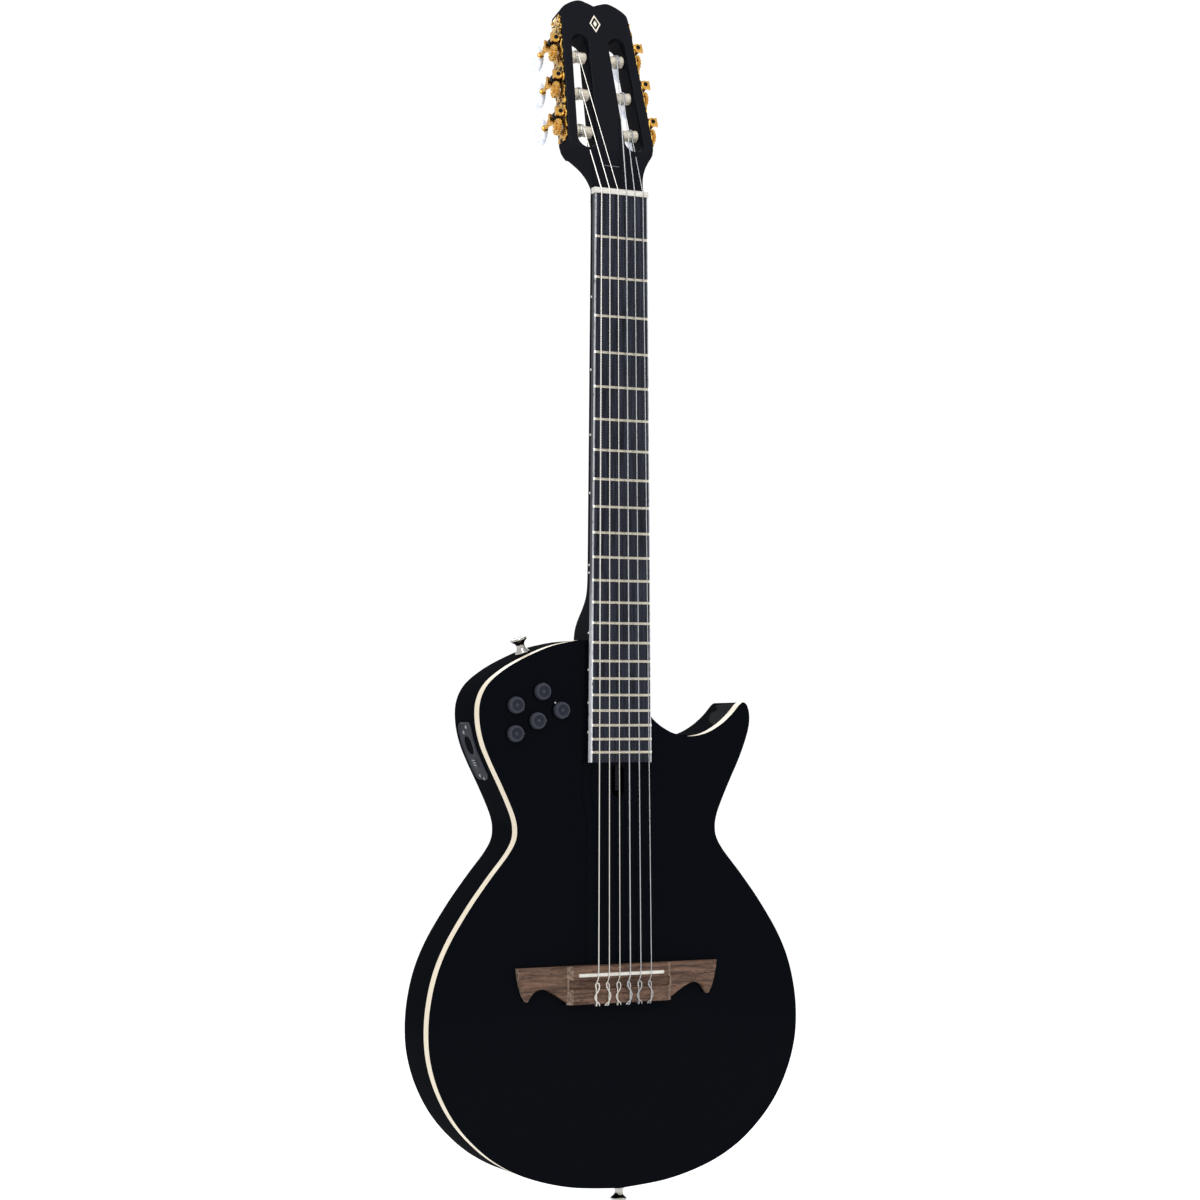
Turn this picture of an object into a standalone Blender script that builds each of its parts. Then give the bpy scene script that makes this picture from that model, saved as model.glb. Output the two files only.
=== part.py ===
"""Thin-body nylon-string electro-acoustic guitar with one cutaway and a slotted headstock.

The guitar hangs upright: +Z runs up the neck, -Y is the playing face, +X is the treble side.
Sizes are in millimetres and become metres when a mesh is made. The origin lies on the centre
line, level with the hanger arms under the headstock, in the plane of the soundboard's face.
Heights that belong to the string length are counted up from the saddle and turned into Z.
"""

import math

import bmesh
import bpy
from mathutils import Matrix, Vector

MM = 0.001
GAP = 0.3  # clearance between touching pieces

SCALE_LENGTH = 650.0  # nut to saddle
HANGER_ABOVE_SADDLE = 672.0  # the origin's height
FRET_COUNT = 22

BODY_DEPTH = 54.0
LIP = 1.0  # black edge in front of the binding
TOP_THICK = 3.0
BINDING_THICK = 2.0
BINDING_HEIGHT = 9.0
BACK_ROUND = 3.0
BACK_THICK = 6.0
NECK_JOIN = 275.3  # height of the body's end at the neck
HEEL_START = 342.0

BOARD_END = 174.0
BOARD_FACE_AT_SADDLE = -4.9  # the board's face carried down to the saddle
BOARD_FACE_RISE = -0.0099  # and its rise towards the nut
BOARD_THICK_AT_NUT = 6.5
NUT_HALF = 24.7
BOARD_HALF_RISE = -0.0078  # the board narrows towards the nut
TONGUE_HALF = 21.7
TONGUE_DEPTH = 14.0
ROD_GROOVE_HALF = 3.3
ROD_GROOVE_DEPTH = 9.5
ROD_SLOT_HALF = 5.5
ROD_SLOT_END = 146.0

NUT_WIDE = 5.0
NUT_STRING_SPAN = 39.1
SADDLE_STRING_SPAN = 48.8
SADDLE_STRING_SHIFT = -0.6
STRING_RADII = (0.55, 0.45, 0.38, 0.51, 0.41, 0.36)
STRING_HEIGHT_AT_SADDLE = -12.9
STRING_ABOVE_BOARD_AT_NUT = 0.7

BRIDGE_SHIFT = -2.2
BRIDGE_HALF = 92.3
BLOCK_HALF = 43.0
BLOCK_TOP = 7.4
BLOCK_BOTTOM = -24.0
WING_THICK = 5.0
BLOCK_THICK = 9.6
SADDLE_HALF = 39.2
SADDLE_WIDE = 2.8

HEAD_TILT = math.radians(15.0)
HEAD_START = 656.0  # height where the headstock's face begins
HEAD_THICK = 21.0
HEAD_HALF_AT_START = 43.2
HEAD_TAPER = 0.066
SLOT_LOW = 38.0
SLOT_HIGH = 146.0
ROLLER_PLACES = (58.8, 94.3, 129.8)
ROLLER_RADIUS = 5.0
ROLLER_DEEP = 10.0  # roller axis below the headstock's face
ROLLER_SHAFT_RADIUS = 2.8
PLATE_THICK = 1.2
PLATE_HALF_WIDE = 9.4
GEAR_RADIUS = 7.4
GEAR_MIDDLE = 5.4  # gear's middle out from the headstock's side
GEAR_HALF_THICK = 1.5
GEAR_TEETH = 14
WORM_RADIUS = 3.3
WORM_ABOVE = GEAR_RADIUS + WORM_RADIUS + 0.35
SHAFT_RADIUS = 2.0
BUTTON_DEEP = 41.5

PANEL_MIDDLE = 182.5
PANEL_HALF_LONG = 25.0
PANEL_NEAR, PANEL_FAR = 19.0, 44.5
PANEL_PROUD = 0.7
PANEL_THICK = 4.2
JACK_HEIGHT = 188.0

KNOB_RADIUS = 7.0
KNOB_TALL = 5.4
KNOB_BORE = 3.8
KNOB_PLACES = ((-70.0, 232.5), (-94.0, 221.3), (-52.8, 217.2), (-74.6, 208.5), (-94.6, 198.0))
POT_RADIUS = 5.6


def height(above_saddle):
    """Z of a height counted up from the saddle."""
    return above_saddle - HANGER_ABOVE_SADDLE


def fret_height(number):
    return SCALE_LENGTH * 2 ** (-number / 12)


def board_face(above_saddle):
    return BOARD_FACE_AT_SADDLE + BOARD_FACE_RISE * above_saddle


def board_half(above_saddle):
    return NUT_HALF + BOARD_HALF_RISE * (above_saddle - SCALE_LENGTH)


def board_back(above_saddle):
    """The fretboard's underside: flat over the body, then a straight line to the nut."""
    share = max(0.0, (above_saddle - NECK_JOIN) / (SCALE_LENGTH - NECK_JOIN))
    at_nut = board_face(SCALE_LENGTH) + BOARD_THICK_AT_NUT
    return -GAP + share * (at_nut + GAP)


def neck_face(above_saddle):
    return board_back(above_saddle) + GAP


HEAD_FRAME = Matrix.Translation((0, neck_face(HEAD_START), height(HEAD_START))) @ Matrix.Rotation(
    -HEAD_TILT, 4, "X"
)


# Building tools


def clear_scene():
    for obj in list(bpy.data.objects):
        bpy.data.objects.remove(obj)


def finish_material(name, colour, roughness, metallic):
    material = bpy.data.materials.new(name)
    material.use_nodes = True
    shader = material.node_tree.nodes["Principled BSDF"]
    shader.inputs["Base Color"].default_value = (*colour, 1.0)
    shader.inputs["Roughness"].default_value = roughness
    shader.inputs["Metallic"].default_value = metallic
    return material


def make_object(name, points, faces, material=None, frame=Matrix(), origin=(0, 0, 0)):
    """An object whose points are given in millimetres in frame, with its origin at a world point."""
    world_origin = Vector(origin)
    mesh = bpy.data.meshes.new(name)
    placed = [(frame @ Vector(point) - world_origin) * MM for point in points]
    mesh.from_pydata(placed, [], faces)
    work = bmesh.new()
    work.from_mesh(mesh)
    bmesh.ops.recalc_face_normals(work, faces=work.faces)
    work.to_mesh(mesh)
    work.free()
    mesh.shade_smooth()
    mesh.set_sharp_from_angle(angle=math.radians(35))
    obj = bpy.data.objects.new(name, mesh)
    obj.location = world_origin * MM
    bpy.context.scene.collection.objects.link(obj)
    if material:
        mesh.materials.append(material)
    return obj


def lofted(name, loops, material=None, frame=Matrix(), closed=False, origin=(0, 0, 0)):
    """Joins loops of equal length by quads, with flat caps, or round into a ring when closed."""
    count = len(loops[0])
    points = [point for loop in loops for point in loop]
    faces = []
    pairs = len(loops) if closed else len(loops) - 1
    for row in range(pairs):
        near = row * count
        far = (row + 1) % len(loops) * count
        for k in range(count):
            after = (k + 1) % count
            faces.append((near + k, near + after, far + after, far + k))
    if not closed:
        faces.append(tuple(reversed(range(count))))
        faces.append(tuple(range(len(points) - count, len(points))))
    return make_object(name, points, faces, material, frame, origin)


def turned(name, profile, sides, material=None, frame=Matrix(), origin=(0, 0, 0)):
    """A solid of revolution about the frame's Z, from a profile of radius and height."""
    loops = []
    for radius, along in profile:
        ring = [math.tau * k / sides for k in range(sides)]
        loops.append([(radius * math.cos(a), radius * math.sin(a), along) for a in ring])
    return lofted(name, loops, material, frame, origin=origin)


def slab(name, outline, low, high, material=None, frame=Matrix(), origin=(0, 0, 0)):
    """An outline in X and Z, extruded along Y."""
    loops = [[(x, y, z) for x, z in outline] for y in (low, high)]
    return lofted(name, loops, material, frame, origin=origin)


def box(name, low, high, material=None, frame=Matrix()):
    outline = [(low[0], low[2]), (high[0], low[2]), (high[0], high[2]), (low[0], high[2])]
    return slab(name, outline, low[1], high[1], material, frame)


def combine(obj, other, operation):
    """Adds or cuts other, which stays in the scene as a hidden guide."""
    modifier = obj.modifiers.new(operation.lower() + "_" + other.name, "BOOLEAN")
    modifier.operation = operation
    modifier.solver = "EXACT"
    modifier.object = other
    other.hide_render = True
    other.display_type = "WIRE"
    return obj


def cut(obj, *others):
    for other in others:
        combine(obj, other, "DIFFERENCE")
    return obj


def join(obj, *others):
    for other in others:
        combine(obj, other, "UNION")
    return obj


def spline(points, steps, closed=False):
    """A Catmull-Rom curve through points, with a number of steps between neighbours."""
    points = [Vector(point) for point in points]
    count = len(points)
    spans = count if closed else count - 1
    curve = []
    for k in range(spans):
        if closed:
            before, start, end, after = (points[(k + j) % count] for j in (-1, 0, 1, 2))
        else:
            before, start = points[max(k - 1, 0)], points[k]
            end, after = points[k + 1], points[min(k + 2, count - 1)]
        for step in range(steps):
            t = step / steps
            curve.append(
                0.5
                * (
                    2 * start
                    + (end - before) * t
                    + (2 * before - 5 * start + 4 * end - after) * t**2
                    + (3 * start - before - 3 * end + after) * t**3
                )
            )
    if not closed:
        curve.append(points[-1])
    return [tuple(point) for point in curve]


def inset(outline, distance):
    """Moves a counter-clockwise outline inwards, keeping its corners."""
    count = len(outline)
    moved = []
    for k in range(count):
        before, here, after = (Vector(outline[(k + j) % count]) for j in (-1, 0, 1))
        first = (here - before).normalized()
        second = (after - here).normalized()
        inward = Vector((-first.y - second.y, first.x + second.x)).normalized()
        spread = max(0.5, inward.dot(Vector((-first.y, first.x))))
        moved.append(tuple(here + inward * distance / spread))
    return moved


def rounded_rectangle(half_wide, half_high, radius, steps=4):
    corners = ((1, 1, 0), (-1, 1, 90), (-1, -1, 180), (1, -1, 270))
    outline = []
    for side_x, side_y, start in corners:
        centre_x = side_x * (half_wide - radius)
        centre_y = side_y * (half_high - radius)
        for k in range(steps + 1):
            angle = math.radians(start + 90 * k / steps)
            outline.append((centre_x + radius * math.cos(angle), centre_y + radius * math.sin(angle)))
    return outline


def frame_from(origin, x_axis, y_axis):
    """A frame whose Z is the cross product of its first two axes."""
    x_axis = Vector(x_axis).normalized()
    y_axis = Vector(y_axis).normalized()
    z_axis = x_axis.cross(y_axis)
    rotation = Matrix((x_axis, y_axis, z_axis)).transposed().to_4x4()
    return Matrix.Translation(origin) @ rotation


# The body's outline, seen from the front, counter-clockwise from the middle of its lower end.

LOWER_BOUT = (
    (0, -176.6),
    (44, -172.6),
    (82, -162.6),
    (110.7, -148.4),
    (133, -130),
    (149.5, -110),
    (161.5, -87),
    (168.3, -64),
    (170.2, -42),
    (168.3, -19),
    (162.3, 5.5),
    (151.5, 29.3),
    (134.2, 56),
    (116.2, 79.5),
    (100.2, 98.7),
    (93.4, 110),
    (92, 119.5),
    (93.6, 129),
    (98.4, 141),
    (106, 157),
    (115.2, 175.3),
    (121.8, 191),
)
BASS_SHOULDER = (
    (125.4, 208),
    (124.7, 224.5),
    (117.6, 238.5),
    (103.4, 250.2),
    (85, 260.3),
    (62.4, 269.6),
    (44, 274),
)
CUTAWAY = (
    (125.7, 204),
    (126.3, 213.5),
    (124.6, 220.8),
    (121.4, 224.1),
    (117.4, 222.6),
    (108.9, 213.6),
    (97.7, 204.8),
    (84, 198),
    (69, 195.5),
    (54.5, 197.6),
    (43, 202.8),
    (33.5, 210),
    (27, 219.5),
    (25, 232),
)


def body_outline(steps=2):
    """Right half up to the cutaway and the heel's corner, then the bass half back down."""
    bass_half = [(-x, z) for x, z in reversed(LOWER_BOUT + BASS_SHOULDER)]
    treble = spline(LOWER_BOUT + CUTAWAY, steps)
    bass = spline(bass_half, steps)[:-1]
    corner = [(25, NECK_JOIN)]
    flat_start = [(-36, NECK_JOIN)]
    return [(x, height(z)) for x, z in treble + corner + flat_start + bass]


def at_depth(outline, depth):
    return [(x, depth, z) for x, z in outline]


CHAMBER = (
    (0, -160),
    (75, -147),
    (126, -112),
    (151, -62),
    (150, -18),
    (128, 36),
    (98, 72),
    (72, 100),
    (58, 122),
    (20, 136),
    (-26, 140),
    (-36, 165),
    (-36, 220),
    (-46, 248),
    (-75, 249),
    (-103, 231),
    (-108, 208),
    (-98, 170),
    (-81, 140),
    (-74, 119),
    (-78, 100),
    (-98, 74),
    (-130, 35),
    (-150, -16),
    (-151, -62),
    (-126, -112),
    (-75, -147),
)


def side_frame(above_saddle):
    """A frame on the bass side wall: X out of the wall, Y along the depth, Z down the wall."""
    wall = [point for point in body_outline(8) if point[0] < -60]
    target = height(above_saddle)
    best = min(range(1, len(wall) - 1), key=lambda k: abs(wall[k][1] - target) + (wall[k][0] > -80) * 999)
    along = Vector(wall[best + 1]) - Vector(wall[best - 1])
    along.normalize()
    outward = Vector((along.y, -along.x))
    x, z = wall[best]
    return frame_from((x, 0, z), (outward.x, 0, outward.y), (0, 1, 0))


# Body pieces


def neck_pocket(name, margin, low, high):
    """The pocket for the neck's tongue, with the rod's slot at its lower end."""
    half = TONGUE_HALF + margin
    slot = ROD_SLOT_HALF
    pocket_end = BOARD_END + 3
    points = [(half, pocket_end), (half, NECK_JOIN + 5), (-half, NECK_JOIN + 5), (-half, pocket_end)]
    points.append((-slot, pocket_end))
    for k in range(9):
        angle = math.pi * (1 + k / 8)
        points.append((slot * math.cos(angle), ROD_SLOT_END + slot + slot * math.sin(angle)))
    points.append((slot, pocket_end))
    return slab(name, [(x, height(z)) for x, z in points], low, high)


def make_body_core(black):
    outline = body_outline()
    seat = inset(outline, BINDING_THICK + GAP)
    binding_back = LIP + GAP + BINDING_HEIGHT + GAP
    top_back = TOP_THICK + GAP
    bend = BACK_ROUND * 0.3
    loops = [
        at_depth(seat, top_back),
        at_depth(seat, binding_back),
        at_depth(outline, binding_back),
        at_depth(outline, BODY_DEPTH - BACK_ROUND),
        at_depth(inset(outline, bend), BODY_DEPTH - bend),
        at_depth(inset(outline, BACK_ROUND), BODY_DEPTH),
    ]
    body = lofted("body_core", loops, black)
    chamber = [(x, height(z)) for x, z in spline(CHAMBER, 2, closed=True)]
    cut(body, slab("guide_chamber", chamber, 1.0, BODY_DEPTH - BACK_THICK))
    cut(body, neck_pocket("guide_neck_pocket", GAP, 1.0, TONGUE_DEPTH + GAP))
    wall = side_frame(PANEL_MIDDLE)
    middle = (PANEL_NEAR + PANEL_FAR) / 2
    half_deep = (PANEL_FAR - PANEL_NEAR) / 2
    seat_shape = rounded_rectangle(half_deep + GAP, PANEL_HALF_LONG + GAP, 6)
    hole_shape = rounded_rectangle(half_deep - 3, PANEL_HALF_LONG - 8, 4)
    seat = wall_shell("guide_panel_seat", PANEL_THICK - PANEL_PROUD + GAP, 6.0, None)
    seat_prism = panel_prism("guide_seat_shape", seat_shape, wall, middle, -30.0, 12.0)
    cut(body, combine(seat, seat_prism, "INTERSECT"))
    cut(body, panel_prism("guide_panel_hole", hole_shape, wall, middle, -40.0, 12.0))
    cut(body, cover_prism("guide_cover_seat", GAP, BODY_DEPTH - 2.3, BODY_DEPTH + 5))
    cut(body, cover_prism("guide_cover_hole", -6.0, BODY_DEPTH - BACK_THICK - 5, BODY_DEPTH + 5))
    for x, z, angle in strap_places():
        cut(body, strap_cutter(x, z, angle))
    return body


def wall_shell(name, inner, outer, material):
    """A strip that follows the bass side wall, from inner below its surface to outer above it."""
    outline = body_outline()
    inside, outside = inset(outline, inner), inset(outline, -outer)
    level = height(PANEL_MIDDLE)
    picked = [k for k, (x, z) in enumerate(outline) if x < -80 and abs(z - level) < PANEL_HALF_LONG + 12]
    ring = [outside[k] for k in picked] + [inside[k] for k in reversed(picked)]
    return slab(name, ring, PANEL_NEAR - 4, PANEL_FAR + 4, material)


def panel_prism(name, shape, wall, middle, inner, outer, material=None):
    """A shape in depth and height across the side wall, extruded along the wall's normal."""
    loops = [[(out, middle + y, z) for y, z in shape] for out in (inner, outer)]
    return lofted(name, loops, material, wall)


COVER_CENTRE = (-74.0, 198.0)


def cover_prism(name, margin, low, high, material=None):
    shape = rounded_rectangle(26 + margin, 34 + margin, 9 + min(margin, 0))
    outline = [(COVER_CENTRE[0] + x, height(COVER_CENTRE[1] + z)) for x, z in shape]
    return slab(name, outline, low, high, material)


def make_soundboard(black):
    outline = body_outline()
    panel = inset(outline, BINDING_THICK + 2 * GAP)
    loops = [
        at_depth(outline, 0.0),
        at_depth(outline, LIP),
        at_depth(panel, LIP),
        at_depth(panel, TOP_THICK),
    ]
    board = lofted("soundboard", loops, black)
    cut(board, neck_pocket("guide_top_pocket", GAP, -2.0, TOP_THICK + 2))
    for number, (x, z) in enumerate(KNOB_PLACES, 1):
        frame = frame_from((x, 0, height(z)), (1, 0, 0), (0, 0, 1))
        cut(board, turned(f"guide_pot_hole_{number}", ((3.6, -6), (3.6, 6)), 12, None, frame))
    return board


def make_binding(cream):
    outline = body_outline()
    inner = inset(outline, BINDING_THICK)
    near = LIP + GAP
    far = near + BINDING_HEIGHT
    loops = [at_depth(outline, near), at_depth(outline, far), at_depth(inner, far), at_depth(inner, near)]
    binding = lofted("top_binding", loops, cream, closed=True)
    low = (-27.0, 0.5, height(NECK_JOIN - 4))
    return cut(binding, box("guide_binding_gap", low, (22.4, 12.0, height(NECK_JOIN + 4))))


def make_control_cover(black):
    return cover_prism("control_cover", 0.0, BODY_DEPTH - 2.0, BODY_DEPTH, black)


def make_side_panel(grey):
    """A bent plate let into the bass side, with a round dish for the jack."""
    wall = side_frame(PANEL_MIDDLE)
    middle = (PANEL_NEAR + PANEL_FAR) / 2
    shape = rounded_rectangle((PANEL_FAR - PANEL_NEAR) / 2, PANEL_HALF_LONG, 5.7)
    panel = wall_shell("side_panel", PANEL_THICK - PANEL_PROUD, PANEL_PROUD, grey)
    combine(panel, panel_prism("guide_panel_shape", shape, wall, middle, -30.0, 12.0), "INTERSECT")
    dish = turned("guide_jack_dish", ((7.2, -6), (7.2, -1.2), (8.6, 3.0)), 24, None, jack_frame())
    return cut(panel, dish)


def jack_frame():
    """Z along the jack's bore, out of the wall, on the jack's middle."""
    wall = side_frame(PANEL_MIDDLE)
    middle = (PANEL_NEAR + PANEL_FAR) / 2
    along = (JACK_HEIGHT - PANEL_MIDDLE) / abs((wall.to_3x3() @ Vector((0, 0, 1))).z)
    centre = wall @ Vector((0, middle, -along))
    if centre.z < height(PANEL_MIDDLE):
        centre = wall @ Vector((0, middle, along))
    outward = wall.to_3x3() @ Vector((1, 0, 0))
    return frame_from(centre, Vector((0, 1, 0)).cross(outward), (0, 1, 0))


def make_jack_socket(metal):
    profile = (
        (0.6, -0.8),
        (6.4, -0.8),
        (6.8, -1.4),
        (6.8, -4.2),
        (5.6, -4.2),
        (5.6, -28.0),
        (0.6, -28.0),
    )
    socket = turned("jack_socket", profile, 20, metal, jack_frame())
    bore = turned("guide_jack_bore", ((3.25, -24.0), (3.25, 5.0)), 20, None, jack_frame())
    return cut(socket, bore)


def make_preamp_board(green):
    """A circuit board across the control chamber, with five pots whose shafts reach the knobs."""
    outline = [(-47, 236), (-64, 243), (-84, 236), (-102, 222), (-101, 192), (-84, 192), (-46, 206)]
    board = slab("preamp_board", [(x, height(z)) for x, z in reversed(outline)], 15.0, 16.6, green)
    for number, (x, z) in enumerate(KNOB_PLACES, 1):
        frame = frame_from((x, 0, height(z)), (1, 0, 0), (0, 0, 1))
        profile = ((POT_RADIUS, -15.4), (POT_RADIUS, -6.0), (3.2, -6.0), (3.2, 0.2), (2.7, 0.2))
        profile += ((2.7, KNOB_BORE - 0.4),)
        join(board, turned(f"guide_pot_{number}", profile, 12, None, frame))
    return board


def make_battery(grey):
    return box("battery", (-64, 22.5, height(150)), (-46.5, 49.0 - 3.0, height(198)), grey)


def strap_places():
    """Middle and outward direction of each strap button: on the bass shoulder and at the tail."""
    return ((-74.8, 264.6, 18.0), (10.0, -176.3, 177.0))


def strap_frame(x, z, angle, depth):
    """Z points out of the body, turned from straight up towards the bass side by the angle."""
    tilt = math.radians(angle)
    outward = Vector((-math.sin(tilt), 0, math.cos(tilt)))
    return frame_from((x, depth, height(z)), Vector((0, 1, 0)).cross(outward), (0, 1, 0))


STRAP_DEPTHS = (27.0, 21.0)


def strap_cutter(x, z, angle):
    depth = STRAP_DEPTHS[0] if z > 0 else STRAP_DEPTHS[1]
    profile = ((2.3, -22.0), (2.3, 6.0))
    name = "guide_strap_top" if z > 0 else "guide_strap_end"
    return turned(name, profile, 12, None, strap_frame(x, z, angle, depth))


def make_strap_button(name, place, depth, chrome):
    profile = (
        (2.0, -18.0),
        (2.0, 1.0),
        (6.2, 1.0),
        (5.6, 2.2),
        (3.6, 5.0),
        (3.6, 8.2),
        (6.9, 11.0),
        (7.2, 12.4),
        (6.4, 13.6),
    )
    return turned(name, profile, 20, chrome, strap_frame(*place, depth))


# Neck, headstock, fretboard


def oval_points(half, front, back, squareness, sides=12):
    """Half an oval behind a flat front: 1 is an ellipse, less is squarer."""
    points = []
    for k in range(sides + 1):
        cosine = round(math.cos(math.pi * k / sides), 9)
        sine = round(math.sin(math.pi * k / sides), 9)
        across = math.copysign(abs(cosine) ** squareness, cosine)
        points.append((half * across, front + (back - front) * sine**squareness))
    return points


def neck_section(above_saddle, half, back, squareness):
    points = oval_points(half, neck_face(above_saddle), back, squareness)
    return [(x, y, height(above_saddle)) for x, y in points]


def neck_sections():
    """Height, half width, back and squareness of each section, from the heel's foot upwards."""
    heel = ((275.6, 26.4, 52.5, 0.68), (283, 26.6, 51.0, 0.7), (289, 26.7, 47.5, 0.72))
    heel += ((295, 26.8, 41.5, 0.75), (303.6, 26.9, 30.5, 0.82), (312, 26.9, 21.8, 0.9))
    heel += ((322, 26.8, 17.2, 0.94), (HEEL_START, 26.7, 15.4, 0.95))
    neck = ((460, 25.9, 12.6, 0.95), (600, 24.8, 10.6, 0.95), (632, 24.6, 10.6, 0.95))
    neck += ((645, 24.5, 12.4, 0.95),)
    return heel + neck


def head_section(up, half, squareness, thick, front):
    """A section across the headstock's root: an oval back that grows square towards the head."""
    points = oval_points(half, front, thick, squareness)
    return [HEAD_FRAME @ Vector((x, y, up)) for x, y in points]


def head_root():
    """Sections in the headstock's plane that carry the neck's round back into the flat head."""
    places = ((0.6, 24.3, 1.0, 17.8, 0.0), (6, 24.4, 0.85, 18.8, 0.0), (14, 25.7, 0.68, 19.8, 0.0))
    places += ((22, 28.8, 0.5, 20.6, 0.0), (29, 33.0, 0.3, 21.0, 0.0))
    places += ((34, 36.5, 0.14, HEAD_THICK + 0.06, -0.03), (38, 38.6, 0.08, HEAD_THICK - 0.1, 0.1))
    return [head_section(*place) for place in places]


def head_outline():
    """Half the headstock in its own plane, then mirrored: across, and up from its start."""

    def side(up):
        return HEAD_HALF_AT_START - HEAD_TAPER * up

    lower = [(34.4, 34.6), (36.9, 36.2), (39.2, 40.0), (side(46), 46)]
    upper = spline(((side(165), 165), (30.6, 170.6), (23.5, 176), (14, 179.6), (6.4, 178), (0, 175.5)), 3)
    half = lower + upper
    return half + [(-x, z) for x, z in reversed(half[:-1])]


def slot_edges(up):
    """Distance of a slot's outer and inner edge from the middle line."""
    return 33.9 - 0.06 * up, 14.9 - 0.04 * up


def slot_outline(side):
    """A slot whose outer edge runs along the headstock's side, with round ends."""
    outline = []
    for end, turn in ((SLOT_LOW, -1), (SLOT_HIGH, 1)):
        outer, inner = slot_edges(end)
        radius = (outer - inner) / 2
        outer, inner = slot_edges(end - turn * radius)
        for k in range(9):
            angle = math.pi * k / 8
            across = (outer + inner) / 2 + turn * radius * math.cos(angle)
            outline.append((side * across, end - turn * radius * (1 - math.sin(angle))))
    return outline


def tuner_frame(side, place):
    """Z out of the headstock's side, X up along the side, Y towards the back, at the roller's place."""
    slope = math.atan(HEAD_TAPER)
    half = HEAD_HALF_AT_START - HEAD_TAPER * place
    along = Vector((-side * math.sin(slope), 0, math.cos(slope)))
    out = Vector((side * math.cos(slope), 0, math.sin(slope)))
    columns = (along, Vector((0, 1, 0)), out)
    rotation = Matrix(columns).transposed().to_4x4()
    return HEAD_FRAME @ Matrix.Translation((side * half, 0, place)) @ rotation


def worm_frame(side, place):
    """Z towards the back along the worm's axis."""
    frame = tuner_frame(side, place)
    return frame @ Matrix.Translation((WORM_ABOVE, 0, GEAR_MIDDLE)) @ Matrix.Rotation(-math.pi / 2, 4, "X")


def roller_frame(side, place):
    return tuner_frame(side, place) @ Matrix.Translation((0, ROLLER_DEEP, 0))


def make_neck(black):
    loops = [neck_section(*section) for section in neck_sections()]
    neck = lofted("neck", loops + head_root(), black)
    front, back = neck_face(200), TONGUE_DEPTH
    low, high = height(BOARD_END + 4), height(NECK_JOIN + 12)
    join(neck, box("guide_tongue", (-TONGUE_HALF, front, low), (TONGUE_HALF, back, high)))
    join(neck, slab("guide_head", head_outline(), 0.0, HEAD_THICK, None, HEAD_FRAME))
    cut(neck, nut_seat())
    cut(neck, rod_groove())
    for name, side in (("bass", -1), ("treble", 1)):
        cut(neck, slab(f"guide_slot_{name}", slot_outline(side), -5, HEAD_THICK + 5, None, HEAD_FRAME))
        cut(neck, string_ramp(name, side))
        for number, place in enumerate(ROLLER_PLACES, 1):
            hole = ROLLER_SHAFT_RADIUS + GAP
            inner = -(HEAD_HALF_AT_START - HEAD_TAPER * place) + 5.4
            profile = ((hole, inner), (hole, 8))
            frame = roller_frame(side, place)
            cut(neck, turned(f"guide_roller_hole_{name}_{number}", profile, 12, None, frame))
    return neck


def nut_seat():
    """Levels the wood that the nut stands on, where the headstock meets the neck."""
    seat = neck_face(SCALE_LENGTH)
    low, high = height(SCALE_LENGTH - 0.4), height(SCALE_LENGTH + NUT_WIDE + 0.4)
    return box("guide_nut_seat", (-40, seat - 20, low), (40, seat, high))


def rod_groove():
    loops = []
    for above_saddle in (160.0, NECK_JOIN, 640.0):
        front = neck_face(above_saddle)
        z = height(above_saddle)
        half, deep = ROD_GROOVE_HALF, ROD_GROOVE_DEPTH
        ring = [(-half, front - 3), (half, front - 3), (half, front + deep), (-half, front + deep)]
        loops.append([(x, y, z) for x, y in ring])
    return lofted("guide_rod_groove", loops)


def string_ramp(name, side):
    """Slopes the slot's lower end down from the face, so that the strings pass."""
    wedge = [(SLOT_LOW - 16, -1.0), (SLOT_LOW + 14, -1.0), (SLOT_LOW + 14, 7.0), (SLOT_LOW + 4, 4.4)]
    loops = [[(side * x, y, z) for z, y in wedge] for x in (15.5, 29.5)]
    return lofted(f"guide_ramp_{name}", loops, None, HEAD_FRAME)


def make_truss_rod(steel):
    """A bar in the neck's groove with its hexagon adjuster in the slot below the fretboard."""
    high = 636.0
    top = Vector((0, neck_face(high) + 4.8, height(high)))
    foot = Vector((0, 5.0, height(150)))
    axis = (top - foot).normalized()
    frame = frame_from(foot, Vector((0, 1, 0)).cross(axis), axis.cross((Vector((0, 1, 0)).cross(axis))))
    length = (top - foot).length
    profile = ((2.2, 0), (3.9, 0.8), (4.1, 2), (4.1, 22), (2.6, 22), (2.6, length))
    return turned("truss_rod", profile, 6, steel, frame)


def make_fretboard(ebony):
    heights = (BOARD_END, NECK_JOIN, SCALE_LENGTH - GAP)
    loops = []
    for above_saddle in heights:
        half, face, back = board_half(above_saddle), board_face(above_saddle), board_back(above_saddle)
        z = height(above_saddle)
        loops.append([(-half, face, z), (half, face, z), (half, back, z), (-half, back, z)])
    board = lofted("fretboard", loops, ebony)
    points = []
    faces = []
    for number in range(1, FRET_COUNT + 1):
        middle = fret_height(number)
        half = board_half(middle) - 0.3
        face = board_face(middle)
        crown = [(1.2, 0.8), (1.2, 0.0), (0.7, -0.9), (-0.7, -0.9), (-1.2, 0.0), (-1.2, 0.8)]
        first = len(points)
        for x in (-half, half):
            points += [(x, face + rise, height(middle) + along) for along, rise in crown]
        count = len(crown)
        faces += [(first + k, first + (k + 1) % count, first + count + (k + 1) % count, first + count + k)
                  for k in range(count)]
        faces.append(tuple(first + k for k in reversed(range(count))))
        faces.append(tuple(first + count + k for k in range(count)))
    return join(board, make_object("guide_frets", points, faces))


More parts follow.
